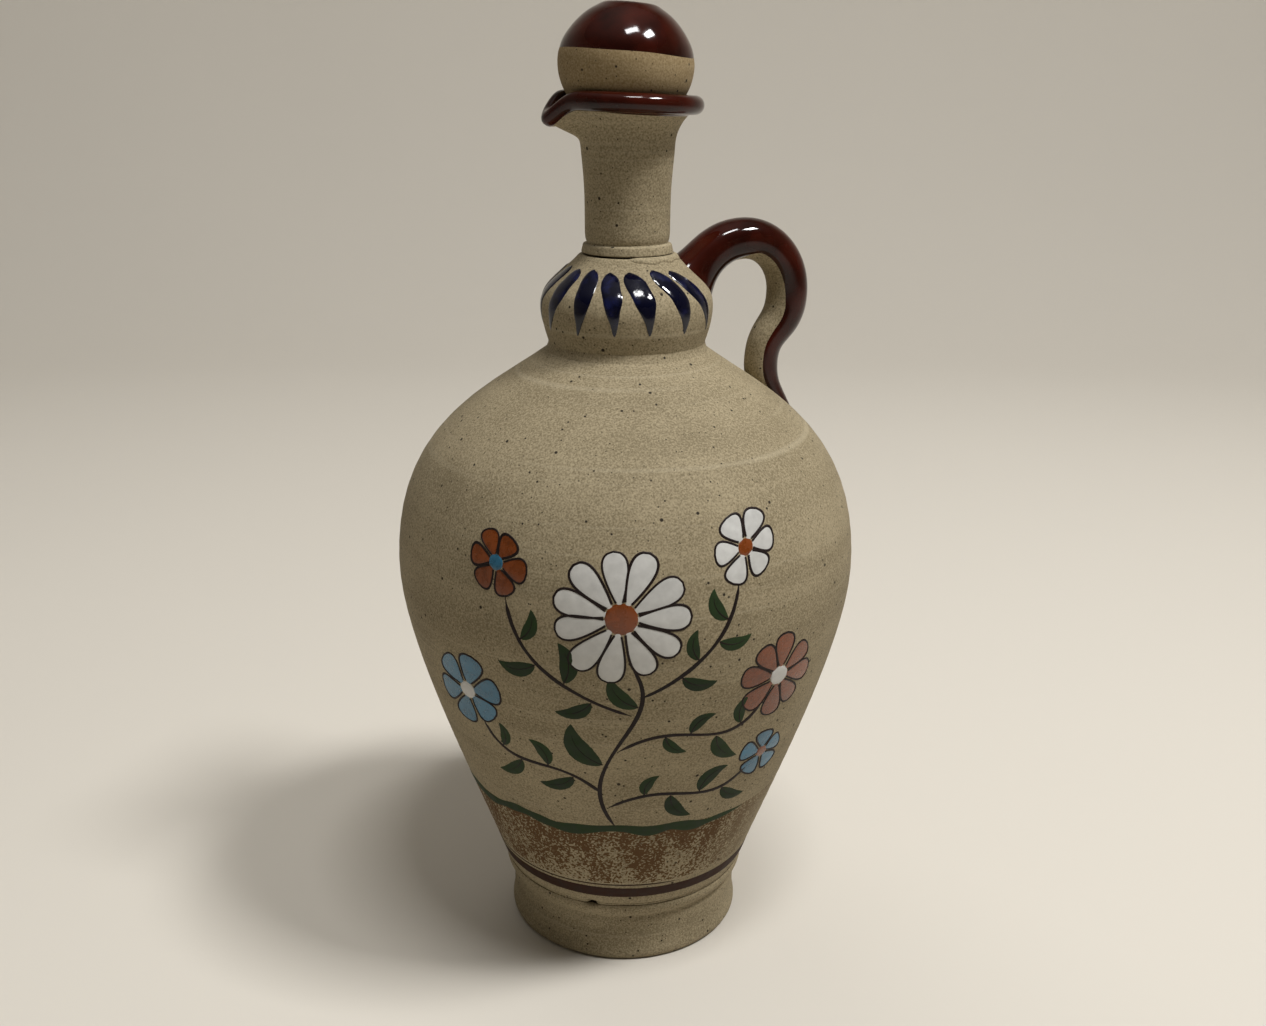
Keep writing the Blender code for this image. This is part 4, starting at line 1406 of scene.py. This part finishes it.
class JUG_OT_stage(bpy.types.Operator):
    """Set the floor, the lamps and the camera"""

    bl_idname = "jug.stage"
    bl_label = "Stage"

    def execute(self, context):
        around = Matrix.Rotation(settings().stage.azimuth, 4, "Z")
        self.sweep(around)
        for name, values in LAMPS.items():
            self.lamp(name, around, *values)
        context.scene.world = self.air()
        context.scene.view_settings.view_transform = "Standard"
        context.scene.camera = self.camera(around)
        return {"FINISHED"}

    @staticmethod
    def camera(around):
        """Camera that stands and looks as the photo's did."""
        stage = settings().stage
        data = bpy.data.cameras.new("photo_view")
        data.sensor_width = SENSOR_WIDTH
        data.lens = stage.focal / PHOTO_SIZE[0] * SENSOR_WIDTH
        data.clip_start = 0.01
        made = bpy.data.objects.new("photo_view", data)
        bpy.context.scene.collection.objects.link(made)
        level = math.cos(stage.pitch)
        ahead = Vector((math.sin(stage.yaw) * level, math.cos(stage.yaw) * level, -math.sin(stage.pitch)))
        right = ahead.cross(Vector((0.0, 0.0, 1.0))).normalized()
        up = right.cross(ahead)
        leaned_right = right * math.cos(stage.roll) + up * math.sin(stage.roll)
        leaned_up = up * math.cos(stage.roll) - right * math.sin(stage.roll)
        facing = Matrix((leaned_right, leaned_up, -ahead)).transposed().to_4x4()
        facing.translation = Vector((0.0, -stage.distance, stage.height))
        made.matrix_world = around @ facing
        return made

    @staticmethod
    def air():
        """Air that is brighter overhead, as under a pale ceiling."""
        falloff, overhead, everywhere = 6.0, 0.45, 0.05
        world = bpy.data.worlds.new("studio_air")
        world.use_nodes = True
        tree = world.node_tree
        way = put(tree, "ShaderNodeSeparateXYZ", {0: put(tree, "ShaderNodeTexCoord").outputs["Generated"]})
        high = put(tree, "ShaderNodeMapRange", {0: way.outputs[2]})
        high = put(tree, "ShaderNodeMath", {0: high.outputs[0], 1: falloff}, operation="POWER")
        light = {0: high.outputs[0], 1: overhead, 2: everywhere}
        level = put(tree, "ShaderNodeMath", light, operation="MULTIPLY_ADD")
        shader = tree.nodes["Background"]
        shader.inputs["Color"].default_value = rgba(linear("e6e1d8"))
        tree.links.new(level.outputs[0], shader.inputs["Strength"])
        return world

    @staticmethod
    def sweep(around):
        """Wide round floor that curves up into a backdrop, near behind the jug and far before it."""
        floor, bend, top = 2.6, 0.6, 2.4
        behind = 1.5
        rise = np.linspace(0.0, math.pi / 2, 13)
        radius = np.concatenate(([SAME_PLACE], floor + bend * np.sin(rise), [floor + bend]))
        height = np.concatenate(([0.0], bend - bend * np.cos(rise), [top]))
        points, faces = loft(round_points(radius[:, None], full_turn(96), height[:, None]))
        mesh = bpy.data.meshes.new("studio_sweep")
        # The sweep is open at its top, so the two end caps are left out
        mesh.from_pydata(points.tolist(), [], faces[:-2])
        mesh.shade_smooth()
        mesh.materials.append(plain_paint("sweep_paint_rolled", settings().stage.floor))
        made = bpy.data.objects.new("studio_sweep", mesh)
        bpy.context.scene.collection.objects.link(made)
        made.matrix_world = around @ Matrix.Translation((0.0, behind - floor - bend, 0.0))

    @staticmethod
    def lamp(name, around, aside, rise, size, power, mirrored):
        """Soft rectangular lamp that looks at the jug, some degrees right of the camera and up."""
        data = bpy.data.lights.new(name, "AREA")
        data.shape = "RECTANGLE"
        data.size, data.size_y = size
        data.energy = power
        made = bpy.data.objects.new(name, data)
        bpy.context.scene.collection.objects.link(made)
        aside, rise = math.radians(aside), math.radians(rise)
        away = Vector((math.sin(aside) * math.cos(rise), -math.cos(aside) * math.cos(rise), math.sin(rise)))
        middle = Vector((0.0, 0.0, LAMP_AIM))
        place = middle + around @ away * LAMP_DISTANCE
        aim = middle - place
        made.matrix_world = Matrix.Translation(place) @ aim.to_track_quat("-Z", "Y").to_matrix().to_4x4()
        made.visible_glossy = mirrored


class JUG_PT_panel(bpy.types.Panel):
    """Lists the jug's operators"""

    bl_idname = "JUG_PT_panel"
    bl_label = "Stoneware Jug"
    bl_space_type = "VIEW_3D"
    bl_region_type = "UI"
    bl_category = "Jug"

    def draw(self, context):
        for operator in OPERATORS:
            self.layout.operator(operator.bl_idname)


GROUPS = (JugClay, JugLip, JugHandle, JugGlaze, JugPetals, JugBands, JugSpray, JugStage, JugSettings)
OPERATORS = (
    JUG_OT_foot,
    JUG_OT_body,
    JUG_OT_collar,
    JUG_OT_petals,
    JUG_OT_neck,
    JUG_OT_handle,
    JUG_OT_stopper,
    JUG_OT_bands,
    JUG_OT_spray,
    JUG_OT_stage,
)


def register():
    """Add the jug's classes and its settings to Blender."""
    for group in GROUPS + OPERATORS + (JUG_PT_panel,):
        bpy.utils.register_class(group)
    bpy.types.Scene.jug = PointerProperty(type=JugSettings)


def unregister():
    """Take the jug's classes and its settings out of Blender."""
    del bpy.types.Scene.jug
    for group in reversed(GROUPS + OPERATORS + (JUG_PT_panel,)):
        bpy.utils.unregister_class(group)


def main():
    """Dress the jug."""
    register()
    for operator in OPERATORS:
        getattr(bpy.ops.jug, operator.bl_idname.split(".")[1])()


if __name__ == "__main__":
    main()
